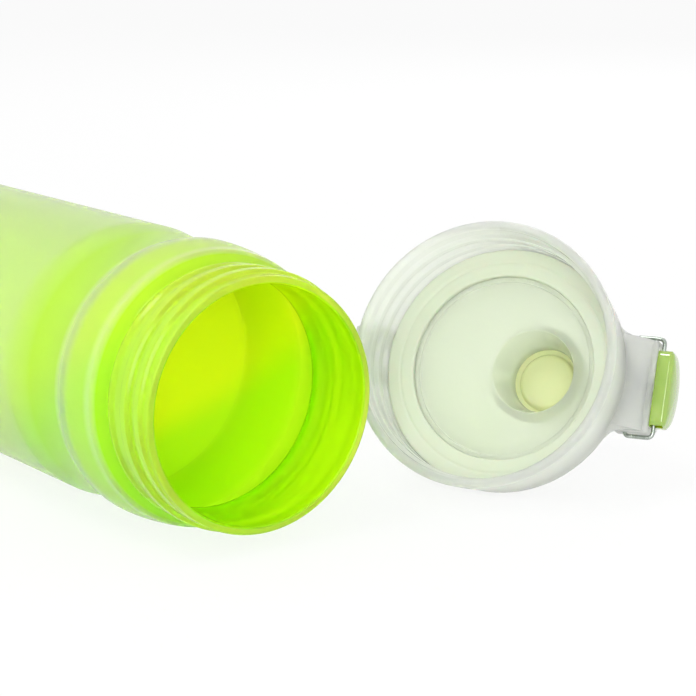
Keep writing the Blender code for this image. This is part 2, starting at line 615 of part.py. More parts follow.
def add_housing(cap, frame):
    """A D-shaped barrel for the button, clear of the cap's inside and of the cover's way up."""
    outline = d_outline(HOUSING_NEAR, BUTTON_FLANK, HOUSING_FAR, HOUSING_HALF, BUTTON_CORNER)
    barrel = prism("housing_barrel", outline, HOUSING_ROOT, HOUSING_END, "X", frame)
    bevel(barrel, HOUSING_ROUND, 2, 60)
    cut_button_seat(barrel, frame)
    foot = housing_foot(frame)
    inside_top = CAP_DECK_BOTTOM + CAP_DECK_THICKNESS / 2
    inside = lathe("inside_clearance", [
        (0, inside_top), (CAP_SEAT_RADIUS, inside_top), (CAP_SEAT_RADIUS, CAP_SEAT_LOW),
        (CAP_BORE, CAP_SEAT_LOW - GAP), (CAP_BORE, -OVERRUN), (0, -OVERRUN)], frame, LID_STEPS)
    way_up = lathe("cover_clearance", [
        (0, COVER_TOP), (COVER_BASE_RADIUS + GAP, COVER_TOP), (COVER_BASE_RADIUS + GAP, CAP_HEIGHT),
        (CAP_WELL_RADIUS + GAP, CAP_HEIGHT), (CAP_WELL_RADIUS + GAP, CAP_DECK_TOP - GAP),
        (0, CAP_DECK_TOP - GAP)], frame, LID_STEPS)
    for form in (foot, barrel):
        cut(form, inside)
        cut(form, way_up)
        join(cap, form)


def knuckle(first, last):
    """Part of the knuckle's circle, of (x, z) points between two angles in degrees."""
    return arc((HINGE_X, HINGE_Z), KNUCKLE_RADIUS, first, last, round(abs(last - first) / 30))


def add_hinge_lugs(cap, frame):
    """Two lugs on the skirt, opposite the button, with the pin's hole."""
    seat_x = -CAP_SEAT_RADIUS - 2 * CAP_SHOULDER_WALL / 3
    skirt_x = -CAP_BORE - 2 * CAP_SHOULDER_WALL / 3
    outline = knuckle(70, 280)
    outline += [(skirt_x, CAP_SEAT_LOW - KNUCKLE_RADIUS), (skirt_x, CAP_SEAT_LOW - GAP)]
    outline += [(seat_x, CAP_SEAT_LOW + CAP_EDGE_ROUND), (seat_x, CAP_HEIGHT - CAP_EDGE_ROUND)]
    for side in (-1, 1):
        ends = sorted((side * LUG_OUTER, side * (LUG_OUTER - LUG_WIDTH)))
        join(cap, prism("hinge_lug_%d" % side, outline, ends[0], ends[1], "Y", frame))
    cut(cap, cross_rod("pin_hole", PIN_HOLE, LUG_OUTER + OVERRUN, (HINGE_X, 0, HINGE_Z), frame))


def make_screw_cap(frame):
    cap = cap_shell(frame)
    add_spout(cap, frame)
    add_housing(cap, frame)
    add_hinge_lugs(cap, frame)
    cut_spout_bore(cap, frame)


def make_gasket(frame):
    top = CAP_DECK_BOTTOM - GAP
    low = top - GASKET_THICKNESS
    outer = CAP_SEAT_RADIUS - GAP
    inner = CAP_RIB_RADIUS + GAP
    lathe("cap_gasket", [
        (inner, top), (outer, top), (outer, low + GASKET_ROUND), (outer - GASKET_ROUND, low),
        (inner + GASKET_ROUND, low), (inner, low + GASKET_ROUND)], frame, LID_STEPS, SILICONE)


def cover_side(z):
    """Outer radius of the cover's straight side at a height."""
    return COVER_BASE_RADIUS - COVER_SLOPE * (z - COVER_BASE)


def cover_shell(frame):
    rise = COVER_TOP - COVER_SIDE_TOP
    crown_r = COVER_TOP_RADIUS - rise
    side_top = COVER_SIDE_TOP - COVER_WALL / 2
    profile = [(0, COVER_TOP + COVER_CROWN)]
    for up, inward in COVER_EDGE_SHARES:
        profile.append((COVER_TOP_RADIUS - rise * inward, COVER_SIDE_TOP + rise * up))
    profile += [(COVER_TOP_RADIUS, COVER_SIDE_TOP), (COVER_BASE_RADIUS, COVER_BASE)]
    profile += [(COVER_BASE_RADIUS - COVER_WALL, COVER_BASE), (cover_side(side_top) - COVER_WALL, side_top)]
    profile += [(crown_r, CEILING), (0, CEILING)]
    return lathe("flip_cover", profile, frame, LID_STEPS, WHITE)


def add_latch(cover, frame):
    """The lip over the housing, with the tongue whose barb catches under the button's bar."""
    rise = COVER_TOP - COVER_SIDE_TOP
    lip = block("cover_lip", (COVER_TOP_RADIUS - rise, -LIP_HALF_WIDTH, LIP_BOTTOM),
                (LIP_REACH, LIP_HALF_WIDTH, LIP_TOP), frame)
    bevel(lip, LIP_ROUND, 2, 40)
    join(cover, lip)
    root = LIP_TOP - LIP_ROUND
    barb = TONGUE_INNER - BARB_REACH
    outline = [(TONGUE_OUTER, root), (TONGUE_INNER, root), (TONGUE_INNER, BARB_TOP), (barb, BARB_TOP)]
    outline += [(barb + BARB_REACH / 2, TONGUE_END), (TONGUE_OUTER, TONGUE_END)]
    join(cover, prism("cover_tongue", outline, -TONGUE_HALF_WIDTH, TONGUE_HALF_WIDTH, "Y", frame))


def add_seal_collar(cover, frame):
    inner = SEAL_HUB_RADIUS + GAP
    outer = inner + COLLAR_WALL
    low = CEILING - COLLAR_HEIGHT
    sunk = CEILING + COVER_WALL / 2
    join(cover, lathe("seal_collar", [(outer, sunk), (outer, low), (inner, low), (inner, sunk)],
                      frame, SMALL_STEPS, place=(SPOUT_OFFSET, 0, 0)))


def add_hinge_webs(cover, frame):
    """Two webs from the cover's back to the pin, and the bridge between them that the spring pushes on."""
    upper_z = COVER_BASE + WEB_HEIGHT
    lower_z = COVER_BASE + 3 * GAP
    outline = knuckle(110, 350)
    outline += [(-CAP_SHOULDER_RADIUS - 2 * GAP, COVER_BASE)]
    outline += [(-cover_side(z) + COVER_WALL / 2, z) for z in (lower_z, upper_z)]
    end = LUG_OUTER - LUG_WIDTH - GAP
    for side in (-1, 1):
        ends = sorted((side * end, side * (end - KNUCKLE_WIDTH)))
        join(cover, prism("hinge_web_%d" % side, outline, ends[0], ends[1], "Y", frame))
    reach = end - KNUCKLE_WIDTH / 2
    join(cover, block("spring_bridge", (BRIDGE_FRONT - BRIDGE_THICKNESS, -reach, BRIDGE_LOW),
                      (BRIDGE_FRONT, reach, BRIDGE_TOP), frame))
    cut(cover, cross_rod("cover_pin_hole", PIN_HOLE, LUG_OUTER, (HINGE_X, 0, HINGE_Z), frame))


def make_cover(hinge):
    """The cover hangs from the hinge's frame, and an inner frame lets it be drawn in the lid's own."""
    frame = make_empty("cover_drawing_frame", hinge, (-HINGE_X, 0, -HINGE_Z))
    cover = cover_shell(frame)
    add_latch(cover, frame)
    add_seal_collar(cover, frame)
    add_hinge_webs(cover, frame)
    make_spout_seal(frame)


def make_spout_seal(frame):
    flange_low = SPOUT_TOP + GAP
    flange_top = flange_low + SEAL_FLANGE_THICKNESS
    tip = SPOUT_TOP - SEAL_PLUG_DEPTH
    lathe("spout_seal", [
        (0, CEILING - GAP), (SEAL_HUB_RADIUS, CEILING - GAP), (SEAL_HUB_RADIUS, flange_top),
        (SEAL_FLANGE_RADIUS - SEAL_ROUND, flange_top), (SEAL_FLANGE_RADIUS, flange_top - SEAL_ROUND),
        (SEAL_FLANGE_RADIUS, flange_low), (SEAL_PLUG_RADIUS, flange_low), (SEAL_TIP_RADIUS, tip), (0, tip)],
        frame, SMALL_STEPS, LIME, place=(SPOUT_OFFSET, 0, 0))


def make_hinge_pin(frame):
    pin = cross_rod("hinge_pin", PIN_RADIUS, LUG_OUTER + PIN_STANDOUT, (HINGE_X, 0, HINGE_Z), frame, STEEL)
    bevel(pin, PIN_ROUND, 1, 40)


def tangent_angle(x, z, side):
    """The angle on the cover spring's circle at which a straight leg to (x, z) leaves it."""
    away = Vector((x - HINGE_X, z - HINGE_Z))
    return math.atan2(away.y, away.x) + side * math.acos(CSPRING_RADIUS / away.length)


def make_cover_spring(frame):
    """A torsion spring round the pin. One leg stands on the skirt and the other pushes the bridge back."""
    touch = GAP + CSPRING_WIRE_RADIUS
    foot_x = -CAP_RIM_RADIUS - touch
    head_x = BRIDGE_FRONT + touch + GAP
    first = tangent_angle(foot_x, CSPRING_FOOT_Z, 1)
    last = tangent_angle(head_x, BRIDGE_LOW, -1) + FULL_TURN * (CSPRING_TURNS + 1)
    pitch = 2 * CSPRING_WIRE_RADIUS + CSPRING_SELF_GAP
    half = pitch * (last - first) / FULL_TURN / 2
    count = round((last - first) / FULL_TURN * COIL_STEPS)
    coil = []
    for i in range(count + 1):
        angle = first + (last - first) * i / count
        coil.append((HINGE_X + CSPRING_RADIUS * math.cos(angle), -half + 2 * half * i / count,
                     HINGE_Z + CSPRING_RADIUS * math.sin(angle)))
    run_on = (BRIDGE_TOP - BRIDGE_LOW) / (BRIDGE_LOW - coil[-1][2])
    head = (head_x + (head_x - coil[-1][0]) * run_on, half, BRIDGE_TOP)
    points = [(foot_x, -half, CSPRING_FOOT_Z)] + coil + [head]
    wire("cover_spring", points, CSPRING_WIRE_RADIUS, frame, 1)
    print("cover_spring least gap, mm:", round(least_gap(points, CSPRING_WIRE_RADIUS, 6) * 1000, 3))


def make_button(frame):
    """A domed D-shaped button. Two arms behind it carry the bar that holds the cover's barb."""
    outline = d_outline(BUTTON_NEAR, BUTTON_FLANK, BUTTON_FAR, BUTTON_HALF_WIDTH, BUTTON_CORNER)
    middle = (BUTTON_NEAR + BUTTON_FAR) / 2
    rings = [[(BUTTON_BACK, y, z) for y, z in outline]]
    for size, rise in BUTTON_DOME_SHARES:
        x = BUTTON_FACE + BUTTON_DOME * rise
        rings.append([(x, y * size, middle + (z - middle) * size) for y, z in outline])
    button = stack("push_button", rings, frame, LIME)
    bar = block("button_bar", (BAR_INNER, -ARM_OUTER, BAR_LOW), (BAR_OUTER, ARM_OUTER, BAR_HIGH), frame)
    join(button, bar)
    for side in (-1, 1):
        ends = sorted((side * ARM_INNER, side * ARM_OUTER))
        join(button, block("button_arm_%d" % side, (BAR_INNER + GAP, ends[0], BAR_LOW),
                           (BUTTON_BACK + GAP, ends[1], BAR_HIGH), frame))
        # The wire's end lies in a slot that is longer than the wire by the button's travel.
        slot_end = BUTTON_HALF_WIDTH - RETAINER_GRIP - GAP
        ends = sorted((side * slot_end, side * (BUTTON_HALF_WIDTH + OVERRUN)))
        low = (RETAINER_X - RETAINER_HOLE, ends[0], RETAINER_Z - RETAINER_HOLE)
        high = (RETAINER_X + RETAINER_HOLE + BUTTON_TRAVEL, ends[1], RETAINER_Z + RETAINER_HOLE)
        cut(button, block("wire_slot_%d" % side, low, high, frame))


def make_button_spring(frame):
    start = HOUSING_FLOOR + GAP + BSPRING_WIRE_RADIUS
    length = BUTTON_BACK - GAP - BSPRING_WIRE_RADIUS - start
    count = BSPRING_TURNS * COIL_STEPS
    points = []
    for i in range(count + 1):
        angle = FULL_TURN * i / COIL_STEPS
        points.append((start + length * i / count, BSPRING_RADIUS * math.sin(angle),
                       BSPRING_HEIGHT - BSPRING_RADIUS * math.cos(angle)))
    wire("button_spring", points, BSPRING_WIRE_RADIUS, frame, 1)
    print("button_spring least gap, mm:", round(least_gap(points, BSPRING_WIRE_RADIUS, 6) * 1000, 3))


def make_button_wires(frame):
    """A wire on each flank of the housing, from a hole at its root to the slot in the button's corner."""
    for name, side in (("button_wire_upper", -1), ("button_wire_lower", 1)):
        root = (RETAINER_ROOT_X, side * (HOUSING_HALF - RETAINER_ROOT_GRIP), RETAINER_Z)
        rear = (RETAINER_ROOT_X, side * RETAINER_Y, RETAINER_Z)
        front = (RETAINER_X, side * RETAINER_Y, RETAINER_Z)
        tip = (RETAINER_X, side * (BUTTON_HALF_WIDTH - RETAINER_GRIP), RETAINER_Z)
        wire(name, rounded_path((root, rear, front, tip), RETAINER_BEND), RETAINER_RADIUS, frame, 2)


def settle_on_floor(root):
    """Moves the whole part so that the middle of its box's bottom is the origin."""
    bpy.context.view_layer.update()
    graph = bpy.context.evaluated_depsgraph_get()
    low = Vector((math.inf,) * 3)
    high = Vector((-math.inf,) * 3)
    for obj in PART.objects:
        if obj.type == "EMPTY":
            continue
        seen = obj.evaluated_get(graph)
        mesh = seen.to_mesh()
        for v in mesh.vertices:
            p = seen.matrix_world @ v.co
            low = Vector(map(min, low, p))
            high = Vector(map(max, high, p))
        seen.to_mesh_clear()
    root.location = (-(low.x + high.x) / 2, -(low.y + high.y) / 2, -low.z)
    bpy.context.view_layer.update()
    print("box, mm:", [round(v * 1000, 2) for v in high - low], "floor shift, mm:", round(-low.z * 1000, 3))


remove_old_objects()
PART = make_collection("Sports water bottle")
CUTTERS = make_collection("Cutters")
LIME = make_material("lime_plastic", (0.42, 0.78, 0.02), 0.18, alpha=0.6)
WHITE = make_material("frosted_white_plastic", (0.86, 0.90, 0.84), 0.35, alpha=0.8)
SILICONE = make_material("clear_silicone", (0.88, 0.90, 0.86), 0.5, alpha=0.8)
STEEL = make_material("stainless_wire", (0.62, 0.64, 0.64), 0.2, 1.0)

ORIGIN = make_empty("part_origin")
bottle_frame = make_bottle()
lid_place = (BODY_LENGTH - LID_BEHIND_MOUTH, LID_ASIDE, LID_DROP)
lid_frame = make_empty("lid_frame", ORIGIN, lid_place, (-math.pi / 2 - LID_TILT, 0, LID_HEADING))
cover_hinge = make_empty("cover_hinge_axis", lid_frame, (HINGE_X, 0, HINGE_Z))
button_slide = make_empty("button_slide_axis", lid_frame)
make_screw_cap(lid_frame)
make_gasket(lid_frame)
make_hinge_pin(lid_frame)
make_cover_spring(lid_frame)
make_button_spring(lid_frame)
make_button_wires(lid_frame)
make_cover(cover_hinge)
make_button(button_slide)
settle_on_floor(ORIGIN)
for piece in PART.objects:
    if piece.type == "MESH":
        piece.data.shade_smooth()
        piece.data.set_sharp_from_angle(angle=SMOOTH_ANGLE)
for empty in (bottle_frame, lid_frame, cover_hinge):
    print(empty.name, [round(v, 6) for v in empty.matrix_world.translation])
for index, axis in enumerate("xyz"):
    print("lid", axis, [round(v, 6) for v in lid_frame.matrix_world.to_3x3().col[index]])
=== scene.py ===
import bpy
import math
import numpy as np
from mathutils import Matrix, Vector


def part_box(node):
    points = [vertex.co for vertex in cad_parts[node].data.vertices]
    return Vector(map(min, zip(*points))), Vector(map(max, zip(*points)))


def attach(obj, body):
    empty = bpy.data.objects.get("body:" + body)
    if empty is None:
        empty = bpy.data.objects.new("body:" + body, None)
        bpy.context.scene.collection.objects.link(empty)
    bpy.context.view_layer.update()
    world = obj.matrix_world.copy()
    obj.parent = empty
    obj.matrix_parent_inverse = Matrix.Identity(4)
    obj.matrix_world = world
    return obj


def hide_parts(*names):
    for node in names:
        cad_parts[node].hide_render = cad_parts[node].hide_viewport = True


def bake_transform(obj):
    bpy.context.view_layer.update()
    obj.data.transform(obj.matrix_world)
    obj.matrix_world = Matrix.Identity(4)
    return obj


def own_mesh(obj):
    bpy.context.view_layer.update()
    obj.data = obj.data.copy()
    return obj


# A translucent lime sports bottle on its side, with its frosted flip-top lid beside the open mouth.
# Lengths are in metres. Each piece is worked out in its own frame and then carried into the world.

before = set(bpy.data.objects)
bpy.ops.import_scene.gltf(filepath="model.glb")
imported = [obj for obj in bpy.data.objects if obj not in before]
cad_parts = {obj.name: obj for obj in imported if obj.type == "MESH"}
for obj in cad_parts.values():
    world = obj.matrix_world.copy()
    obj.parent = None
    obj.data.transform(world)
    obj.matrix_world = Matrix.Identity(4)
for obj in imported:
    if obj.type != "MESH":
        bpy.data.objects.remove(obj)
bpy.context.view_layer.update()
mm = 0.001

bottleLow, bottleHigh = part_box("bottle_body")
bottlePlace = dict(
    base=bottleLow.x,                              # where the bottle stands when it is upright
    axisY=(bottleLow.y + bottleHigh.y) / 2,
    axisZ=(bottleLow.z + bottleHigh.z) / 2,
    length=225 * mm,
)
lidPlace = dict(
    tilt=24, heading=32.3,                         # degrees
    behindMouth=6.3 * mm, aside=69.3 * mm,
    shoulderRadius=31.95 * mm, shoulderHeight=22.3 * mm,
)


def makeBottleFrame(p):
    # local x, y, z go to world -Z, Y, X, so a turned shape's height runs along the bottle
    m = np.eye(4)
    m[:3, 0], m[:3, 1], m[:3, 2] = (0, 0, -1), (0, 1, 0), (1, 0, 0)
    m[:3, 3] = (p["base"], p["axisY"], p["axisZ"])
    return m


def makeLidFrame(p, bottle):
    # turn about world X by -(90 + tilt), then about world Z by the heading, then set down on the shoulder
    tilt, heading = math.radians(p["tilt"]), math.radians(p["heading"])
    drop = p["shoulderRadius"] * math.cos(tilt) + p["shoulderHeight"] * math.sin(tilt)
    m = Matrix.Rotation(heading, 4, "Z") @ Matrix.Rotation(-math.pi / 2 - tilt, 4, "X")
    m = np.array(m)
    m[:3, 3] = (bottle["base"] + bottle["length"] - p["behindMouth"], bottle["axisY"] + p["aside"], drop)
    return m


def inWorld(point, place):
    return (np.array(point) @ place[:3, :3].T + place[:3, 3]).tolist()


bottleFrame = makeBottleFrame(bottlePlace)
lidFrame = makeLidFrame(lidPlace, bottlePlace)
mouth = bottleFrame[:3, 3] + np.array((bottlePlace["length"], 0, 0))


def softCorners(points, count=5):
    # each corner (r, z, cut) is swapped for a parabola between the points that lie cut before and after it:
    # p(t) = a(1-t)^2 + 2c t(1-t) + b t^2, with one more point a little further out to hold the flats flat
    pts = np.array([p[:-1] for p in points], float)
    cuts = [p[-1] for p in points]
    out = [pts[0]]
    t = np.linspace(0, 1, count)[:, None]
    for before, corner, after, cut in zip(pts[:-2], pts[1:-1], pts[2:], cuts[1:-1]):
        toBefore, toAfter = before - corner, after - corner
        lenBefore, lenAfter = np.linalg.norm(toBefore), np.linalg.norm(toAfter)
        if cut <= 0:
            out.append(corner)
            continue
        c = min(cut, 0.42 * lenBefore, 0.42 * lenAfter)
        a, b = corner + toBefore / lenBefore * c, corner + toAfter / lenAfter * c
        out.append(a + (a - corner) * 0.3)
        out.extend(a * (1 - t) ** 2 + corner * 2 * t * (1 - t) + b * t ** 2)
        out.append(b + (b - corner) * 0.3)
    out.append(pts[-1])
    return np.array(out)


def densify(profile, longest):
    # straight stretches are divided so that no step along the profile is longer than longest
    rows = [profile[:1]]
    for a, b in zip(profile[:-1], profile[1:]):
        n = max(1, int(math.ceil(np.linalg.norm(b - a) / longest)))
        rows.append(a + (b - a) * (np.arange(1, n + 1) / n)[:, None])
    return np.vstack(rows)


def softLoop(points, count=5):
    # softCorners for points that close on themselves
    return softCorners([points[-1]] + points + [points[0]], count)[1:-1]


def closedOutline(points, longest):
    # densify for points that close on themselves
    return densify(np.vstack([points, points[:1]]), longest)[:-1]


def turned(profile, steps, offset=None, ridge=None):
    # P(s, a) = (c(s) + (r(s) + h(a, z)) cos a, (r(s) + h(a, z)) sin a, z(s)): a turned surface whose circles
    # may be off centre by c and may carry a ridge of height h
    angle = np.linspace(0, 2 * math.pi, steps, endpoint=False)
    r = profile[:, 0][:, None] + np.zeros((1, steps))
    z = profile[:, 1][:, None] + np.zeros((1, steps))
    if ridge is not None:
        r = r + ridge(angle[None, :], z, profile)
    c = np.zeros((len(profile), 1)) if offset is None else np.asarray(offset)[:, None]
    return np.stack([c + r * np.cos(angle), r * np.sin(angle), z], axis=-1)


def sheetFaces(grid, wrapRows):
    # quads between neighbouring rows and columns, the columns closed on themselves
    m, n = grid.shape[:2]
    index = np.arange(m * n).reshape(m, n)
    if wrapRows:
        index = np.vstack([index, index[:1]])
    a, b = index[:-1], index[1:]
    return np.stack([a, np.roll(a, -1, 1), np.roll(b, -1, 1), b], axis=-1).reshape(-1, 4)


def closedSolid(grid, wrapRows=False):
    # a grid of rows that close on themselves, whose first and last rows end in a pole at their middle
    verts = grid.reshape(-1, 3)
    quads = sheetFaces(grid, wrapRows)
    tris = np.zeros((0, 3), int)
    if not wrapRows:
        m, n = grid.shape[:2]
        poles = np.array([grid[0].mean(0), grid[-1].mean(0)])
        first, last = np.arange(n), np.arange(n) + (m - 1) * n
        tris = np.vstack([
            np.stack([np.full(n, m * n), np.roll(first, -1), first], 1),
            np.stack([np.full(n, m * n + 1), last, np.roll(last, -1)], 1)])
        verts = np.vstack([verts, poles])
    halves = np.vstack([quads[:, (0, 1, 2)], quads[:, (0, 2, 3)], tris])
    a, b, c = (verts[halves[:, k]] for k in range(3))
    if np.einsum("ij,ij->i", a, np.cross(b, c)).sum() < 0:  # six times the signed volume
        quads, tris = quads[:, ::-1], tris[:, ::-1]
    return verts, quads, tris


def newObject(name, data):
    thing = bpy.data.objects.new(name, data)
    bpy.context.scene.collection.objects.link(thing)
    return thing


def putPiece(name, solids, place, finish, body, nodes, sharp=38, marks=None):
    # one object from one or more closed solids, carried into the world by place. marks gives an attribute's
    # name and its value at each vertex. A piece that bends between bodies comes with no body
    verts, faces, start = [], [], 0
    for v, quads, tris in solids:
        verts.append(v)
        faces += (quads + start).tolist() + (tris + start).tolist()
        start += len(v)
    verts = np.vstack(verts) @ place[:3, :3].T + place[:3, 3]
    mesh = bpy.data.meshes.new(name)
    mesh.from_pydata(verts.tolist(), [], faces)
    mesh.shade_smooth()
    mesh.set_sharp_from_angle(angle=math.radians(sharp))
    for key, values in (marks or {}).items():
        mesh.attributes.new(key, "FLOAT", "POINT").data.foreach_set("value", values)
    mesh.materials.append(finish["material"])
    piece = newObject(name, mesh)
    if body:
        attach(piece, body)
    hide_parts(*nodes)
    print("piece", name, len(mesh.polygons), "faces")
    return piece


def ring3(outline, x):
    # an outline of (y, z) points set at x, where x is a number or one value for each point
    return np.stack([np.zeros(len(outline)) + x, outline[:, 0], outline[:, 1]], axis=-1)


def slab(outline, low, high, cut, across="Y", count=4):
    # an outline of (u, v) points carried from low to high, its rims drawn in by a quarter round:
    # the outline moves in by cut (1 - cos a) as it moves out by cut sin a
    middle = outline.mean(0)
    reach = np.abs(outline - middle).max()
    rows = []
    turn = np.linspace(0, math.pi / 2, count)
    lowRim = [(low + cut * (1 - math.sin(a)), a) for a in turn[::-1]]
    highRim = [(high - cut * (1 - math.sin(a)), a) for a in turn]
    for w, a in lowRim + highRim:
        size = 1 - cut * (1 - math.cos(a)) / reach
        flat = middle + (outline - middle) * size
        lift = np.full(len(flat), w)
        rows.append(np.stack([flat[:, 0], lift, flat[:, 1]], -1) if across == "Y" else
                    np.stack([lift, flat[:, 0], flat[:, 1]], -1) if across == "X" else
                    np.stack([flat[:, 0], flat[:, 1], lift], -1))
    return closedSolid(np.array(rows))


def bothSides(outline, low, high, cut):
    return [slab(outline, low, high, cut), slab(outline, -high, -low, cut)]


def tube(path, radius, sides=12):
    # circles of one radius along a path, each square to it: P(s, a) = C(s) + radius (N(s) cos a + B(s) sin a),
    # with N carried along by taking out its part along the path
    path = np.asarray(path, float)
    along = np.gradient(path, axis=0)
    along /= np.linalg.norm(along, axis=1)[:, None]
    side = np.cross(along[0], (0.31, 0.52, 0.79))
    normals = []
    for t in along:
        side = side - t * side.dot(t)
        side /= np.linalg.norm(side)
        normals.append(side)
    normals = np.array(normals)
    across = np.cross(along, normals)
    a = np.linspace(0, 2 * math.pi, sides, endpoint=False)
    cosA, sinA = np.cos(a)[None, :, None], np.sin(a)[None, :, None]
    rows = path[:, None] + radius * (normals[:, None] * cosA + across[:, None] * sinA)
    chamfer = dict(inward=0.6, outward=0.12)
    first = path[0] + (rows[0] - path[0]) * chamfer["inward"] - along[0] * radius * chamfer["outward"]
    last = path[-1] + (rows[-1] - path[-1]) * chamfer["inward"] + along[-1] * radius * chamfer["outward"]
    return closedSolid(np.concatenate([first[None], rows, last[None]]))


def bentPath(corners, bend, count=7):
    # a path through corners, each rounded by a parabola that starts and ends bend away from it
    pts = np.array([tuple(c) + (bend,) for c in corners])
    return softCorners(pts, count)


def newMaterial(name, colour, roughness, **sockets):
    # a Principled shader whose constants are set on its own sockets
    mat = bpy.data.materials.new(name)
    mat.use_nodes = True
    shader = mat.node_tree.nodes["Principled BSDF"]
    shader.inputs["Base Color"].default_value = (*colour, 1)
    shader.inputs["Roughness"].default_value = roughness
    for key, value in sockets.items():
        shader.inputs[key.replace("_", " ")].default_value = value
    return mat, mat.node_tree, shader


def addNode(tree, kind, **values):
    node = tree.nodes.new(kind)
    for key, value in values.items():
        if hasattr(node, key):
            setattr(node, key, value)
        else:
            node.inputs[key.replace("_", " ")].default_value = value
    return node


def noiseOf(tree, scale, detail=3.0, stretch=(1, 1, 1)):
    # fractal noise on Object coordinates, in metres
    coords = addNode(tree, "ShaderNodeTexCoord")
    mapping = addNode(tree, "ShaderNodeMapping")
    mapping.inputs["Scale"].default_value = stretch
    noise = addNode(tree, "ShaderNodeTexNoise", Scale=scale, Detail=detail)
    tree.links.new(coords.outputs["Object"], mapping.inputs["Vector"])
    tree.links.new(mapping.outputs["Vector"], noise.inputs["Vector"])
    return noise


def rampOf(tree, source, stops):
    # a colour or grey ramp over a 0 to 1 value
    ramp = addNode(tree, "ShaderNodeValToRGB")
    while len(ramp.color_ramp.elements) < len(stops):
        ramp.color_ramp.elements.new(0.5)
    for element, (at, colour) in zip(ramp.color_ramp.elements, stops):
        element.position = at
        element.color = (*colour, 1) if len(colour) == 3 else colour
    tree.links.new(source, ramp.inputs["Fac"])
    return ramp


def grey(v):
    return (v, v, v)


def addBump(tree, shader, noise, strength, distance=0.2 * mm):
    bump = addNode(tree, "ShaderNodeBump", Strength=strength, Distance=distance)
    tree.links.new(noise.outputs["Fac"], bump.inputs["Height"])
    tree.links.new(bump.outputs["Normal"], shader.inputs["Normal"])


def varied(tree, noise, low, high, shader=None, socket=None):
    # low where the noise is at 0.3 and high where it is at 0.7. It feeds the shader's socket if one is named
    out = rampOf(tree, noise.outputs["Fac"], [(0.3, low), (0.7, high)]).outputs["Color"]
    if socket:
        tree.links.new(out, shader.inputs[socket])
    return out


limeLook = dict(
    # the two inside colours are painted shade low down and painted light high up on the bottle's inner face
    insideShadedLow=(0.44, 0.95, 0.0005), insideLitHigh=(0.80, 0.99, 0.0005), insideTurn=(55 * mm, 71 * mm),
    insideLean=(-0.64, 0, 1), insideRough=0.7,
    tintAndPaintedLightZones=((0, 16.5, (0.80, 0.99, 0.070), 0.40),           # from, to in mm behind the mouth, colour, roughness
           (18, 20.8, (0.62, 0.98, 0.020), 0.40),
           # painted highlight: a narrow pale band along the ring's front edge
           (21.2, 22.4, (0.93, 0.995, 0.55), 0.30),
           (24, 30, (0.76, 0.985, 0.20), 0.50),
           # painted highlight: a narrow pale band along the ring's rear edge
           (32.5, 35, (0.92, 0.995, 0.58), 0.35),
           # painted shade: a darker, greener band in the groove behind the ring
           (38, 51, (0.62, 0.985, 0.09), 0.52),
           (64, 200, (0.79, 0.985, 0.50), 0.55)),
    zoneSpan=200, wobble=(0.975, 1.0), bump=0.05,
    transmission=0.70, ior=1.15, scatter=0.01, coat=0.5, coatRough=0.15,
)
frostLook = dict(
    base=(0.940, 0.955, 0.910), shade=(0.925, 0.943, 0.885),
    deck=(0.87, 0.925, 0.78), deckTurn=(20 * mm, 31 * mm),  # the tint round the deck's middle, and its fade
    rough=(0.55, 0.67), bump=0.06,
    transmission=0.65, ior=1.11, scatter=0.01, coat=0.5, coatRough=0.15,
)
gasketLook = dict(
    name="milkySilicone", base=(0.87, 0.905, 0.79), shade=(0.85, 0.89, 0.76), rough=0.5, transmission=0.4,
)
sealLook = dict(
    name="paleLimeSilicone", base=(0.96, 0.99, 0.62), shade=(0.94, 0.98, 0.58), rough=0.5, transmission=0.5,
)
buttonLook = dict(base=(0.25, 0.42, 0.008), shade=(0.23, 0.40, 0.006), light=(0.28, 0.46, 0.010), coatIor=2.0)
steelLook = dict(
    base=(0.60, 0.62, 0.61), shade=(0.30, 0.35, 0.30), light=(0.46, 0.50, 0.46), rough=(0.16, 0.34),
)


def mixOf(tree, share, a, b, kind="RGBA"):
    # a where share is 0 and b where it is 1. Each of a and b is a constant or another node's output
    mix = addNode(tree, "ShaderNodeMix", data_type=kind)
    tree.links.new(share, mix.inputs["Factor"])
    sockets = [i for i in mix.inputs if i.enabled and i.name in "AB"]
    for socket, value in zip(sockets, (a, b)):
        if isinstance(value, bpy.types.NodeSocket):
            tree.links.new(value, socket)
        else:
            socket.default_value = (*value, 1) if kind == "RGBA" else value
    return [o for o in mix.outputs if o.enabled][0]


def rangeOf(tree, source, low, high, **values):
    # 0 where the source is at low and 1 where it is at high
    node = addNode(tree, "ShaderNodeMapRange", From_Min=low, From_Max=high, **values)
    tree.links.new(source, node.inputs["Value"])
    return node.outputs["Result"]


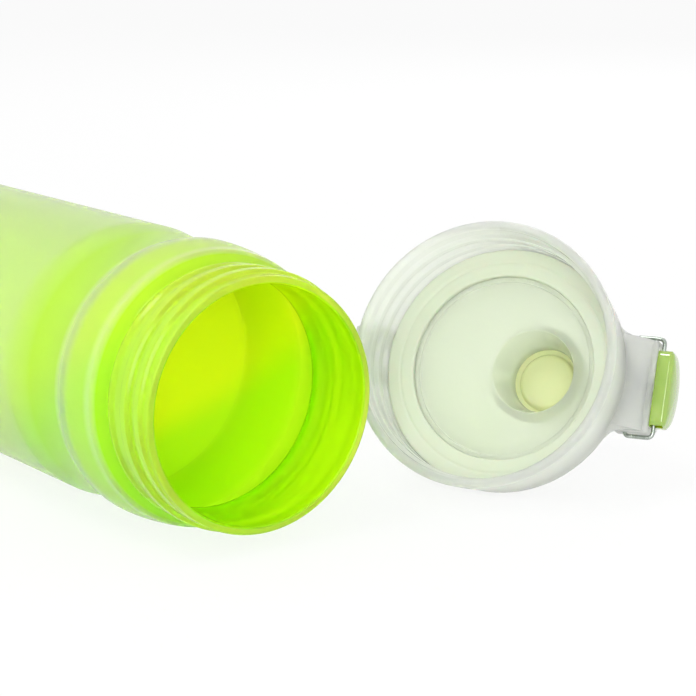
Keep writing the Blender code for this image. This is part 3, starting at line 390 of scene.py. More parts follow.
def makeLimeMaterial(look, place):
    # the outer face turns from clear at the neck to milky along the body, in zones behind the mouth along X;
    # two narrow pale zones at the ring's edges are painted highlights, and a darker zone in the groove is
    # painted shade.
    # The inner face, where the "outer" attribute is 0, is pure lime with painted light and shade: yellower and
    # lighter high up and deep inside as painted light from above, greener and darker low down and in the neck
    # as painted shade, by z + 0.64 (depth behind the mouth)
    mat, tree, shader = newMaterial("limeTranslucentPlastic", look["tintAndPaintedLightZones"][0][2], 0.3,
                                    Transmission_Weight=look["transmission"], IOR=look["ior"],
                                    Subsurface_Weight=1.0, Subsurface_Scale=look["scatter"],
                                    Subsurface_Radius=(1.0, 1.0, 0.4),
                                    Coat_Weight=look["coat"], Coat_Roughness=look["coatRough"])
    coords = addNode(tree, "ShaderNodeTexCoord")
    split = addNode(tree, "ShaderNodeSeparateXYZ")
    tree.links.new(coords.outputs["Object"], split.inputs["Vector"])
    mouthX = place["base"] + place["length"]
    depth = rangeOf(tree, split.outputs["X"], mouthX, mouthX - look["zoneSpan"] * mm)
    colours, roughs = [], []
    for start, end, colour, rough in look["tintAndPaintedLightZones"]:
        for at in (start / look["zoneSpan"], end / look["zoneSpan"]):
            colours.append((at, colour))
            roughs.append((at, grey(rough)))
    outside = rampOf(tree, depth, colours)
    lean = addNode(tree, "ShaderNodeVectorMath", operation="DOT_PRODUCT")
    lean.inputs[1].default_value = look["insideLean"]
    tree.links.new(coords.outputs["Object"], lean.inputs[0])
    # painted light: the inner face runs from the painted shade colour low down to the painted light colour high
    # up
    low, high = (at + look["insideLean"][0] * mouthX for at in look["insideTurn"])
    height = rangeOf(tree, lean.outputs["Value"], low, high, interpolation_type="SMOOTHSTEP")
    inside = mixOf(tree, height, look["insideShadedLow"], look["insideLitHigh"])
    side = addNode(tree, "ShaderNodeAttribute", attribute_name="outer")
    tint = mixOf(tree, side.outputs["Fac"], inside, outside.outputs["Color"])
    wobble = varied(tree, noiseOf(tree, 22, 2), *map(grey, look["wobble"]))
    shift = addNode(tree, "ShaderNodeHueSaturation")
    tree.links.new(wobble, shift.inputs["Value"])
    tree.links.new(tint, shift.inputs["Color"])
    tree.links.new(shift.outputs["Color"], shader.inputs["Base Color"])
    rough = rampOf(tree, depth, roughs)
    roughness = mixOf(tree, side.outputs["Fac"], look["insideRough"], rough.outputs["Color"], "FLOAT")
    tree.links.new(roughness, shader.inputs["Roughness"])
    addBump(tree, shader, noiseOf(tree, 900, 2), look["bump"])
    return mat


def makeFrostMaterial(look, deckMiddle):
    # milky white, with a greener tint towards the middle of the cap's deck
    mat, tree, shader = newMaterial("frostedWhitePlastic", look["base"], 0.60,
                                    Transmission_Weight=look["transmission"], IOR=look["ior"],
                                    Subsurface_Weight=1.0, Subsurface_Scale=look["scatter"],
                                    Subsurface_Radius=(1.0, 1.0, 0.9),
                                    Coat_Weight=look["coat"], Coat_Roughness=look["coatRough"])
    tint = varied(tree, noiseOf(tree, 60, 3), look["shade"], look["base"])
    coords = addNode(tree, "ShaderNodeTexCoord")
    away = addNode(tree, "ShaderNodeVectorMath", operation="DISTANCE")
    away.inputs[1].default_value = deckMiddle
    tree.links.new(coords.outputs["Object"], away.inputs[0])
    share = rangeOf(tree, away.outputs["Value"], *look["deckTurn"], interpolation_type="SMOOTHSTEP")
    whole = mixOf(tree, share, look["deck"], tint)
    tree.links.new(whole, shader.inputs["Base Color"])
    fine = noiseOf(tree, 1400, 2)
    varied(tree, fine, *map(grey, look["rough"]), shader, "Roughness")
    addBump(tree, shader, fine, look["bump"])
    return mat


def makeSilicone(look):
    mat, tree, shader = newMaterial(look["name"], look["base"], look["rough"], IOR=1.41,
                                    Transmission_Weight=look["transmission"],
                                    Subsurface_Weight=0.15, Subsurface_Scale=3 * mm)
    varied(tree, noiseOf(tree, 90, 2), look["shade"], look["base"], shader, "Base Color")
    addBump(tree, shader, noiseOf(tree, 1800, 2), 0.08)
    return mat


def makeGlossLime(look):
    mat, tree, shader = newMaterial("glossLimePlastic", look["base"], 0.15,
                                    Coat_Weight=1.0, Coat_Roughness=0.05, Coat_IOR=look["coatIor"],
                                    Subsurface_Weight=0.2, Subsurface_Scale=3 * mm)
    varied(tree, noiseOf(tree, 120, 2), look["shade"], look["light"], shader, "Base Color")
    addBump(tree, shader, noiseOf(tree, 1500, 2), 0.03)
    return mat


def makeSteel(look):
    # drawn wire: the noise is stretched along Z
    mat, tree, shader = newMaterial("stainlessWire", look["base"], 0.22, Metallic=1.0)
    draw = noiseOf(tree, 700, 3, (1, 1, 0.2))
    varied(tree, draw, *map(grey, look["rough"]), shader, "Roughness")
    varied(tree, draw, look["shade"], look["light"], shader, "Base Color")
    addBump(tree, shader, draw, 0.05, 0.1 * mm)
    return mat


deckMiddle = inWorld((0, 0, 19.5 * mm), lidFrame)
lime = dict(slot="lime_plastic", material=makeLimeMaterial(limeLook, bottlePlace))
frost = dict(slot="frosted_plastic", material=makeFrostMaterial(frostLook, deckMiddle))
gasketSilicone = dict(slot="silicone", material=makeSilicone(gasketLook))
sealSilicone = dict(slot="lime_silicone", material=makeSilicone(sealLook))
glossLime = dict(slot="lime_button", material=makeGlossLime(buttonLook))
steel = dict(slot="steel", material=makeSteel(steelLook))
print("materials made")


bottle = dict(
    wall=1.8 * mm, baseWall=2.4 * mm, corner=5 * mm, foot=4 * mm, recess=3 * mm,
    radius=35 * mm, neck=30.7 * mm, bore=28.7 * mm, rimRound=0.6 * mm,
    beadDepth=16.5 * mm, beadHeight=0.7 * mm, neckLength=18 * mm,
    edgeRadius=33.9 * mm, edgeDepth=21.6 * mm, ringEnd=34.2 * mm,
    grooveDip=1.25 * mm, grooveWidth=26 * mm, pole=0.4 * mm, threadEnd=15.4 * mm,
    threadPitch=6 * mm, threadTurns=1.72, threadTop=2.9 * mm, threadStart=-36, threadHeight=1 * mm,
    threadBase=3.8 * mm, threadCrest=2 * mm, threadFade=0.12, steps=224,
)


def threadRidge(p, top, wall, outward):
    # a right-hand helix: at turn t the middle of the ridge lies at angle start - 2 pi t and height
    # top - pitch t. Its height is 1 over the crest and falls to 0 at the base's edges on a cosine
    def ridge(angle, z, profile):
        total = np.zeros(np.broadcast(angle, z).shape)
        start = math.radians(p["threadStart"])
        back = np.mod(start - angle, 2 * math.pi) / (2 * math.pi)
        for turn in range(int(math.ceil(p["threadTurns"])) + 1):
            t = back + turn
            inside = (t <= p["threadTurns"]) & (t >= 0)
            share = t / p["threadTurns"]
            fade = np.clip(np.minimum(share, 1 - share) / p["threadFade"], 0, 1)
            away = np.abs(z - (top - p["threadPitch"] * t))
            flank = (p["threadBase"] - p["threadCrest"]) / 2
            rise = np.clip((p["threadBase"] / 2 - away) / flank, 0, 1)
            rise = 0.5 - 0.5 * np.cos(math.pi * rise)
            total = np.maximum(total, inside * rise * np.sin(fade * math.pi / 2))
        onWall = np.abs(profile[:, 0] - wall)[:, None] < 0.05 * mm
        return outward * p["threadHeight"] * total * onWall
    return ridge


def bottleProfile(p, length):
    # (r, z) from the inside of the base, up the inner wall, over the rim and down the outer wall
    edge, ringEnd = length - p["edgeDepth"], length - p["ringEnd"]
    share = np.linspace(0, 1, 22)
    ring = np.stack([p["edgeRadius"] + (p["radius"] - p["edgeRadius"]) * np.sin(share * math.pi / 2),
                     edge + (ringEnd - edge) * share], 1)
    share = np.linspace(0, 1, 56)[1:]
    dip = np.clip(np.sin(math.pi * share ** 0.8), 0, 1) ** 0.8
    groove = np.stack([p["radius"] - p["grooveDip"] * dip, ringEnd - p["grooveWidth"] * share], 1)
    neckFoot = length - p["neckLength"]
    bead, beadZ = p["neck"] + p["beadHeight"], length - p["beadDepth"]
    turn = np.radians(np.linspace(0, -90, 14))
    cornerR = p["radius"] - p["corner"]
    outerCorner = np.stack([cornerR + p["corner"] * np.cos(turn), p["corner"] + p["corner"] * np.sin(turn)], 1)
    innerCut = p["corner"] - p["wall"]
    innerCorner = np.stack([cornerR + innerCut * np.cos(turn),
                            p["baseWall"] + innerCut + innerCut * np.sin(turn)], 1)[::-1]
    footR = cornerR - p["foot"]
    dishR = footR - 2 * p["recess"]
    w = p["wall"]
    floorZ = p["recess"] + p["baseWall"]
    innerBase = softCorners([(p["pole"], floorZ, 0), (dishR, floorZ, 2 * mm), (footR, p["baseWall"], 2 * mm),
                             (cornerR, p["baseWall"], 0)])
    inner = np.vstack([innerBase, innerCorner[1:], np.stack([groove[::-1, 0] - w, groove[::-1, 1]], 1)])
    ringIn = np.stack([ring[::-1, 0] - w, ring[::-1, 1] - w * (1 - np.linspace(1, 0, len(ring)))], 1)
    upper = softCorners([
        (ringIn[-2, 0], ringIn[-2, 1], 0), (ringIn[-1, 0], ringIn[-1, 1], 1.2 * mm),
        (p["bore"] + p["rimRound"], edge - w, 2.4 * mm), (p["bore"], edge + 1 * mm, 1.6 * mm),
        (p["bore"], length, p["rimRound"]), (p["neck"], length, p["rimRound"]),
        (p["neck"], beadZ + 2 * p["beadHeight"], 0.5 * mm), (bead, beadZ + p["beadHeight"] / 2, 0.35 * mm),
        (bead, beadZ - p["beadHeight"] / 2, 0.35 * mm), (p["neck"], neckFoot, 0.6 * mm),
        (ring[0, 0], ring[0, 1], 0.35 * mm), (ring[1, 0], ring[1, 1], 0)])
    outerBase = softCorners([(cornerR, 0, 0), (footR, 0, 0.8 * mm), (dishR, p["recess"], 1.5 * mm),
                             (p["pole"], p["recess"], 0)])
    whole = np.vstack([inner, ringIn[1:-2], upper, ring[2:], groove, outerCorner, outerBase[1:]])
    return densify(whole, 3 * mm)


def makeBottle(p, place):
    length = place["length"]
    profile = bottleProfile(p, length)
    # the neck is divided finely enough to carry the thread
    z = profile[:, 1]
    onNeck = (np.abs(profile[:, 0] - p["neck"]) < 0.01 * mm) & (z > length - p["threadEnd"])
    first, last = np.flatnonzero(onNeck)[[0, -1]]
    fine = np.linspace(profile[first, 1], profile[last, 1], 74)
    neck = np.stack([np.full(len(fine), p["neck"]), fine], 1)
    profile = np.vstack([profile[:first], neck, profile[last + 1:]])
    ridge = threadRidge(p, length - p["threadTop"], p["neck"], 1)
    grid = turned(profile, p["steps"], ridge=ridge)
    # the profile is on the inner face until it first reaches the rim
    outer = np.arange(len(profile)) >= np.argmax(profile[:, 1])
    outer = np.append(np.repeat(outer, p["steps"]), [0, 1]).astype(np.float32)
    putPiece("bottleBody", [closedSolid(grid)], bottleFrame, lime, "bottle", ["bottle_body"],
             marks=dict(outer=outer))


makeBottle(bottle, bottlePlace)


cap = dict(
    rim=34.4 * mm, shoulder=31.95 * mm, height=23.2 * mm, deck=19.5 * mm, deckTop=21.7 * mm, edge=0.9 * mm,
    bore=32.0 * mm, seat=31.35 * mm, seatLow=15.3 * mm,
    ribOuter=24.1 * mm, ribInner=22.9 * mm, ribLow=18.4 * mm,
    well=29.0 * mm, spoutAt=7.7 * mm, spoutTop=34 * mm, spoutTip=10.45 * mm, spoutRoot=12.9 * mm,
    spoutBore=8.7 * mm, spoutEntry=10.8 * mm, throat=30 * mm, lipEdge=0.6 * mm,
    swell=((0.30, 0.75), (0.60, 0.42), (0.85, 0.12)), steps=224,
)


def makeCapShell(p, b):
    # circles (r, z, c) round the section: from the bore's inner end over the deck's underside and down the
    # skirt to its rim, up the outside, across the well, up the spout and back into the bore
    top = p["height"] - p["edge"]
    out = p["rim"] - p["shoulder"]
    lip = p["spoutTop"] - p["lipEdge"]
    s = p["spoutAt"]
    rows = [
        (p["spoutBore"], p["throat"], s, 1 * mm), (p["spoutEntry"], p["deck"], s, 0.5 * mm),
        (p["ribInner"], p["deck"], 0, 0.35 * mm), (p["ribInner"], p["ribLow"], 0, 0.3 * mm),
        (p["ribOuter"], p["ribLow"], 0, 0.3 * mm), (p["ribOuter"], p["deck"], 0, 0.35 * mm),
        (p["seat"], p["deck"], 0, 0.4 * mm), (p["seat"], p["seatLow"] + p["edge"], 0, 0.4 * mm),
        (p["bore"], p["seatLow"], 0, 0.5 * mm), (p["bore"], 0.5 * mm, 0, 0.4 * mm),
        (p["rim"] - 1.9 * mm, 0, 0, 0.3 * mm), (p["rim"] - p["edge"], 0, 0, 0.45 * mm),
        (p["rim"], p["edge"], 0, 0.6 * mm)]
    rows += [(p["shoulder"] + out * o, top * u, 0, 2.5 * mm) for u, o in p["swell"]]
    rows += [
        (p["shoulder"], top, 0, 0.6 * mm), (p["shoulder"] - p["edge"], p["height"], 0, 0.5 * mm),
        (p["well"], p["height"], 0, 0.4 * mm), (p["well"], p["deckTop"], 0, 0.4 * mm),
        (p["spoutRoot"], p["deckTop"], s, 0.9 * mm),
        ((p["spoutTip"] * 3 + p["spoutRoot"]) / 4, (p["deckTop"] + p["spoutTop"]) / 2, s, 3 * mm),
        (p["spoutTip"], lip, s, 0.5 * mm), (p["spoutTip"] - p["lipEdge"], p["spoutTop"], s, 0.3 * mm),
        (p["spoutBore"] + p["lipEdge"], p["spoutTop"], s, 0.3 * mm), (p["spoutBore"], lip, s, 0.5 * mm)]
    loop = densify(softLoop(rows), 2.5 * mm)
    onWall = (np.abs(loop[:, 0] - p["bore"]) < 0.01 * mm) & (loop[:, 1] < p["seatLow"] - 0.5 * mm)
    first, last = np.flatnonzero(onWall)[[0, -1]]
    fine = np.linspace(loop[first, 1], loop[last, 1], 76)
    wall = np.stack([np.full(len(fine), p["bore"]), fine, np.zeros(len(fine))], 1)
    loop = np.vstack([loop[:first], wall, loop[last + 1:]])
    ridge = threadRidge(b, p["seatLow"] - b["threadBase"] / 2, p["bore"], -1)
    grid = turned(loop[:, :2], p["steps"], offset=loop[:, 2], ridge=ridge)
    return closedSolid(grid, wrapRows=True)


housing = dict(
    half=12.1 * mm, near=24.4 * mm, flank=30.5 * mm, far=39.6 * mm, corner=1.8 * mm,
    end=38.2 * mm, wall=1.7 * mm, floor=32.3 * mm, back=31.45 * mm, edge=0.9 * mm, pocketCut=0.25 * mm,
    flare=5 * mm, footLow=18.5 * mm, flush=29.7 * mm, root=31.65 * mm, footInside=0.3 * mm, footBend=1.68,
    cutFrom=28 * mm, windowHalf=4.3 * mm, windowLow=34.3 * mm, windowTo=35.7 * mm,
    slotHalf=6.0 * mm, slotLow=34.0 * mm, slotHigh=36.3 * mm, slotTo=33.3 * mm,
)


def dOutline(near, flank, far, half, corner, crown=40, side=6):
    # (y, z) points of a D: straight at near, straight flanks, and half an ellipse from flank to far
    a = np.radians(np.linspace(180, 270, 8))
    start = np.stack([-half + corner + corner * np.cos(a), near + corner + corner * np.sin(a)], 1)
    end = start[::-1] * (-1, 1)
    bottom = start[-1] + (end[0] - start[-1]) * (np.arange(1, 12) / 12)[:, None]
    a = np.radians(np.linspace(0, 180, crown))
    top = np.stack([half * np.cos(a), flank + (far - flank) * np.sin(a)], 1)
    rise = end[-1] + (top[0] - end[-1]) * (np.arange(1, side) / side)[:, None]
    fall = top[-1] + (start[0] - top[-1]) * (np.arange(1, side) / side)[:, None]
    return np.vstack([start, bottom, end, rise, top, fall])


def insetOf(outline, by):
    # each point moves in by an amount along the outline's own normal
    along = np.roll(outline, -1, 0) - np.roll(outline, 1, 0)
    along /= np.linalg.norm(along, axis=1)[:, None]
    return outline + np.stack([-along[:, 1], along[:, 0]], 1) * by


def makeHousing(p):
    # a D-shaped cup: from the middle of its back, out over the barrel, round the front edge, into the pocket
    # and to its floor
    outline = dOutline(p["near"], p["flank"], p["far"], p["half"], p["corner"])
    middle = np.array((0, (p["near"] + p["far"]) / 2))

    def onSkirt(flat):
        return np.sqrt(p["back"] ** 2 - flat[:, 0] ** 2)

    rows = []
    for size in (0.02, 0.3, 0.6, 0.85, 0.97):
        flat = middle + (outline - middle) * size
        rows.append(ring3(flat, onSkirt(flat)))
    root = onSkirt(outline)
    rows.append(ring3(outline, root + 0.1 * mm))
    for share in (0.1, 0.4, 0.7, 0.95):
        rows.append(ring3(outline, root + (p["end"] - p["edge"] - root) * share))
    for a in np.radians(np.linspace(0, 90, 6)):
        inward, back = p["edge"] * (1 - math.cos(a)), p["edge"] * (1 - math.sin(a))
        rows.append(ring3(insetOf(outline, inward), p["end"] - back))
    inner = insetOf(outline, p["wall"])
    rows.append(ring3(insetOf(outline, p["wall"] - p["pocketCut"]), p["end"]))
    rows.append(ring3(inner, p["end"] - p["pocketCut"]))
    for x in np.linspace(p["end"] - 1 * mm, p["floor"] + 0.3 * mm, 5):
        rows.append(ring3(inner, x))
    for size in (0.99, 0.9, 0.5, 0.02):
        rows.append(ring3(middle + (inner - middle) * size, p["floor"]))
    return closedSolid(np.array(rows))


def makeFoot(p):
    # at each height the flank is a parabola: it leaves the skirt's wall at half + spread and bends into the
    # housing's flank. u is 0 at the foot's low end, flush with the skirt, and 1 under the barrel
    rows = []
    flank = p["half"] - p["footInside"]
    t = np.linspace(0, 1, 13)[:, None]
    for u in np.linspace(0, 1, 19):
        z = p["footLow"] + (p["near"] + p["wall"] - p["footInside"] - p["footLow"]) * u
        spread = p["footInside"] + (p["flare"] - p["footInside"]) * (1 - u ** 2)
        reach = p["flush"] + (p["end"] - p["edge"] - p["flush"]) * (1 - (1 - u) ** p["footBend"])
        y = flank + spread
        x = math.sqrt(p["root"] ** 2 - y ** 2)
        start, bend, end = np.array((x, y)), np.array((x + spread * y / x, flank)), np.array((reach, flank))
        side = start * (1 - t) ** 2 + bend * 2 * t * (1 - t) + end * t ** 2
        front = end + ((reach, -flank) - end) * (np.arange(1, 16) / 16)[:, None]
        front[:, 0] = np.maximum(front[:, 0], np.sqrt(p["root"] ** 2 - front[:, 1] ** 2))
        a = math.asin(y / p["root"]) * np.linspace(-0.98, 0.98, 17)
        back = np.stack([p["back"] * np.cos(a), p["back"] * np.sin(a)], 1)
        ring = np.vstack([side, front, side[::-1] * (1, -1), back])
        rows.append(np.column_stack([ring, np.full(len(ring), z)]))
    # the thin low end is closed along its own arc: its points' angles and radii shrink towards the arc's middle
    low = rows[0]
    angle, radius = np.arctan2(low[:, 1], low[:, 0]), np.hypot(low[:, 0], low[:, 1])
    between = (p["back"] + p["root"]) / 2
    for size in (0.8, 0.6, 0.4, 0.2, 0.02):
        r, a = between + (radius - between) * size, angle * size
        rows.insert(0, np.column_stack([r * np.cos(a), r * np.sin(a), low[:, 2]]))
    return closedSolid(np.array(rows))


hinge = dict(
    x=-38.6 * mm, z=19.0 * mm, radius=3.4 * mm, lugOuter=7.5 * mm, lugWidth=2.3 * mm, webWidth=2.0 * mm,
    gap=0.3 * mm, pin=1.2 * mm, pinCut=0.3 * mm, pinReach=8.0 * mm, lugEdge=0.3 * mm, webEdge=0.25 * mm,
    lugTurn=(70, 280, 22), webTurn=(110, 350, 24),          # degrees from and to, and points
    lugRoot=((-32.5, 11.9), (-32.5, 15.0), (-31.75, 16.2), (-31.75, 22.3)),  # x, z in mm
    webRoot=((-32.55, 23.5), (-29.8, 24.4), (-28.1, 28.3)),
)


def knuckleOutline(p, turn, root):
    # (x, z) points: round the pin between two angles, then back along the root's corners
    a = np.radians(np.linspace(*turn))
    knuckle = np.stack([p["x"] + p["radius"] * np.cos(a), p["z"] + p["radius"] * np.sin(a)], 1)
    return closedOutline(np.vstack([knuckle, np.array(root) * mm]), 1 * mm)


def makeLugs(p):
    outline = knuckleOutline(p, p["lugTurn"], p["lugRoot"])
    return bothSides(outline, p["lugOuter"] - p["lugWidth"], p["lugOuter"], p["lugEdge"])


def cutAway(piece, low, high, place):
    # takes a block between two corners out of a piece, in the frame of place
    a, b = np.array(low), np.array(high)
    corners = np.array([(x, y, z) for x in (a[0], b[0]) for y in (a[1], b[1]) for z in (a[2], b[2])])
    corners = corners @ place[:3, :3].T + place[:3, 3]
    faces = [(0, 1, 3, 2), (4, 6, 7, 5), (0, 4, 5, 1), (2, 3, 7, 6), (0, 2, 6, 4), (1, 5, 7, 3)]
    mesh = bpy.data.meshes.new("cutter")
    mesh.from_pydata(corners.tolist(), [], faces)
    cutter = newObject("cutter", mesh)
    step = piece.modifiers.new("cut", "BOOLEAN")
    step.operation, step.solver, step.object = "DIFFERENCE", "EXACT", cutter
    bpy.context.view_layer.update()
    done = bpy.data.meshes.new_from_object(piece.evaluated_get(bpy.context.evaluated_depsgraph_get()))
    piece.modifiers.clear()
    piece.data = done
    bpy.data.objects.remove(cutter)


def makeCap(p, b, h, k):
    putPiece("capShell", [makeCapShell(p, b)], lidFrame, frost, "cap", ["screw_cap"])
    barrel = putPiece("capButtonHousing", [makeHousing(h)], lidFrame, frost, "cap", ["screw_cap"], sharp=50)
    # the latch's window through the barrel, and the slot for the button's arms
    cutAway(barrel, (h["cutFrom"], -h["windowHalf"], h["windowLow"]),
            (h["windowTo"], h["windowHalf"], h["far"] + 1 * mm), lidFrame)
    cutAway(barrel, (h["cutFrom"], -h["slotHalf"], h["slotLow"]),
            (h["slotTo"], h["slotHalf"], h["slotHigh"]), lidFrame)
    putPiece("capHousingFoot", [makeFoot(h)], lidFrame, frost, "cap", ["screw_cap"], sharp=50)
    putPiece("capHingeLugs", makeLugs(k), lidFrame, frost, "cap", ["screw_cap"])


makeCap(cap, bottle, housing, hinge)


gasket = dict(
    inner=24.2 * mm, outer=31.25 * mm, low=17.3 * mm, top=19.2 * mm, edge=0.5 * mm,
    groove=0.2 * mm, grooveHalf=0.5 * mm, steps=160,
)
seal = dict(
    top=40.1 * mm, hub=6 * mm, flange=10.6 * mm, flangeLow=34.3 * mm, flangeTop=36.6 * mm,
    plug=7.7 * mm, tip=7.0 * mm, tipAt=32.6 * mm, edge=0.7 * mm, pole=0.3 * mm, steps=96,
)


def makeGasket(p):
    # a flat ring with rounded edges and one shallow moulded groove in its sealing face
    mid = (p["inner"] + p["outer"]) / 2
    rows = [
        (p["inner"], p["top"], 0.3 * mm), (p["outer"], p["top"], 0.3 * mm), (p["outer"], p["low"], p["edge"]),
        (mid + p["grooveHalf"], p["low"], p["groove"]), (mid, p["low"] + p["groove"], p["groove"]),
        (mid - p["grooveHalf"], p["low"], p["groove"]), (p["inner"], p["low"], p["edge"])]
    return closedSolid(turned(softLoop(rows, 4), p["steps"]), wrapRows=True)


def makeSeal(p, at):
    # a hub, a flange that lies on the spout's lip and a plug that stands in its bore
    rows = softCorners([
        (p["pole"], p["top"], 0), (p["hub"], p["top"], 0.4 * mm), (p["hub"], p["flangeTop"], 0.5 * mm),
        (p["flange"], p["flangeTop"], p["edge"]), (p["flange"], p["flangeLow"], 0.3 * mm),
        (p["plug"], p["flangeLow"], 0.2 * mm), (p["tip"], p["tipAt"], 0.8 * mm), (p["pole"], p["tipAt"], 0)])
    rows = densify(rows, 2 * mm)
    return closedSolid(turned(rows, p["steps"], offset=np.full(len(rows), at)))


putPiece("capGasket", [makeGasket(gasket)], lidFrame, gasketSilicone, "cap", ["cap_gasket"])
putPiece("spoutSeal", [makeSeal(seal, cap["spoutAt"])], lidFrame, sealSilicone, "cover", ["spout_seal"])


cover = dict(
    base=23.5 * mm, baseRadius=31.1 * mm, sideTop=36.9 * mm, topRadius=25.2 * mm, top=42.2 * mm,
    crown=0.3 * mm, wall=1.8 * mm, edge=((0.17, 0.35), (0.39, 0.65), (0.63, 0.88), (1.0, 1.0)), pole=0.4 * mm,
    lipFrom=21.0 * mm, lipTo=36.1 * mm, lipHalf=6.2 * mm, lipLow=39.9 * mm, lipHigh=41.7 * mm, lipEdge=0.7 * mm,
    tongueIn=34.0 * mm, tongueOut=35.4 * mm, tongueHalf=4 * mm, tongueTop=41.0 * mm, tongueEnd=32.6 * mm,
    tongueEdge=0.15 * mm, barb=1.1 * mm, barbHigh=34.0 * mm,
    collarIn=6.3 * mm, collarOut=8.2 * mm, collarLow=37.1 * mm, collarTop=41.2 * mm, collarSteps=96, steps=224,
    bridgeIn=-35.9 * mm, bridgeOut=-37.0 * mm, bridgeLow=22.0 * mm, bridgeHigh=23.4 * mm, bridgeEdge=0.2 * mm,
)


def makeCoverShell(p):
    # an open bell: ceiling, inner side, base rim, outer side, a round shoulder and a slightly crowned top
    rise = p["top"] - p["sideTop"]
    ceiling = p["top"] - p["wall"]
    slope = (p["baseRadius"] - p["topRadius"]) / (p["sideTop"] - p["base"])
    sideTop = p["sideTop"] - p["wall"] / 2
    innerTop = p["baseRadius"] - slope * (sideTop - p["base"]) - p["wall"]
    rows = [(p["pole"], ceiling, 0), (p["topRadius"] - rise, ceiling, 3 * mm), (innerTop, sideTop, 3 * mm),
            (p["baseRadius"] - p["wall"], p["base"], 0.4 * mm), (p["baseRadius"], p["base"], 0.4 * mm),
            (p["topRadius"], p["sideTop"], 1.2 * mm)]
    rows += [(p["topRadius"] - rise * inward, p["sideTop"] + rise * up, 1.4 * mm) for inward, up in p["edge"]]
    rows += [(p["pole"], p["top"] + p["crown"], 0)]
    return closedSolid(turned(densify(softCorners(rows), 2 * mm), p["steps"]))


def roundedBox(low, high, cut, across):
    # a block whose four long edges are quarter rounds and whose two ends are drawn in the same way
    axes = [0, 1, 2]
    axes.remove("XYZ".index(across))
    u0, v0, u1, v1 = low[axes[0]], low[axes[1]], high[axes[0]], high[axes[1]]
    middles = ((u1 - cut, v1 - cut), (u0 + cut, v1 - cut), (u0 + cut, v0 + cut), (u1 - cut, v0 + cut))
    points = []
    for start, (cu, cv) in zip((0, 90, 180, 270), middles):
        a = np.radians(np.linspace(start, start + 90, 6))
        points.append(np.stack([cu + cut * np.cos(a), cv + cut * np.sin(a)], 1))
    outline = closedOutline(np.vstack(points), 1 * mm)
    w = "XYZ".index(across)
    return slab(outline, low[w], high[w], cut, across)


def makeCover(p, k, at):
    # the bell, the latch's lip and tongue, the seal's collar, two hinge webs, and the bridge between them that
    # the spring's leg pushes
    solids = [makeCoverShell(p), roundedBox((p["lipFrom"], -p["lipHalf"], p["lipLow"]),
                                            (p["lipTo"], p["lipHalf"], p["lipHigh"]), p["lipEdge"], "X")]
    barbOut = p["tongueIn"] - p["barb"]
    tongue = np.array([(p["tongueOut"], p["tongueTop"]), (p["tongueIn"], p["tongueTop"]),
                       (p["tongueIn"], p["barbHigh"]), (barbOut, p["barbHigh"]),
                       (p["tongueIn"] - p["barb"] / 2, p["tongueEnd"]), (p["tongueOut"], p["tongueEnd"])])
    tongue = closedOutline(tongue, 0.7 * mm)
    solids.append(slab(tongue, -p["tongueHalf"], p["tongueHalf"], p["tongueEdge"]))
    collar = [(p["collarIn"], p["collarTop"], 0), (p["collarOut"], p["collarTop"], 0),
              (p["collarOut"], p["collarLow"], 0.4 * mm), (p["collarIn"], p["collarLow"], 0.3 * mm)]
    collar = softLoop(collar, 4)
    collar = turned(collar, p["collarSteps"], offset=np.full(len(collar), at))
    solids.append(closedSolid(collar, wrapRows=True))
    end = k["lugOuter"] - k["lugWidth"] - k["gap"]
    outline = knuckleOutline(k, k["webTurn"], k["webRoot"])
    solids += bothSides(outline, end - k["webWidth"], end, k["webEdge"])
    solids.append(roundedBox((p["bridgeOut"], -end + 1 * mm, p["bridgeLow"]),
                             (p["bridgeIn"], end - 1 * mm, p["bridgeHigh"]), p["bridgeEdge"], "Y"))
    putPiece("flipCover", solids, lidFrame, frost, "cover", ["flip_cover"])


makeCover(cover, hinge, cap["spoutAt"])


springs = dict(
    coverWire=0.35 * mm, coverRadius=2.3 * mm, coverTurns=3, coverGap=0.45 * mm,
    footX=-35.05 * mm, footZ=14.2 * mm, headX=-34.95 * mm,
    buttonWire=0.30 * mm, buttonRadius=2.5 * mm, buttonTurns=4, buttonHeight=29.3 * mm,
    buttonFrom=32.9 * mm, buttonTo=37.0 * mm, points=150, sides=10,
)


def makePin(p):
    # a plain pin with a small chamfer at each end
    flat = p["pin"] - p["pinCut"]
    angle = np.linspace(0, 2 * math.pi, 32, endpoint=False)
    grid = []
    end = ((p["pinCut"], 1.0), (flat, 1.0), (p["pin"], 0.96))
    for r, y in [(r, -y) for r, y in end] + list(end[::-1]):
        circle = [p["x"] + r * np.cos(angle), np.full(32, y * p["pinReach"]), p["z"] + r * np.sin(angle)]
        grid.append(np.stack(circle, 1))
    return closedSolid(np.array(grid))


def tangentAngle(p, k, x, z, side):
    # where a straight leg to (x, z) leaves the coil's circle: the direction to the point, turned by
    # acos(r / distance)
    dx, dz = x - k["x"], z - k["z"]
    return math.atan2(dz, dx) + side * math.acos(p["coverRadius"] / math.hypot(dx, dz))


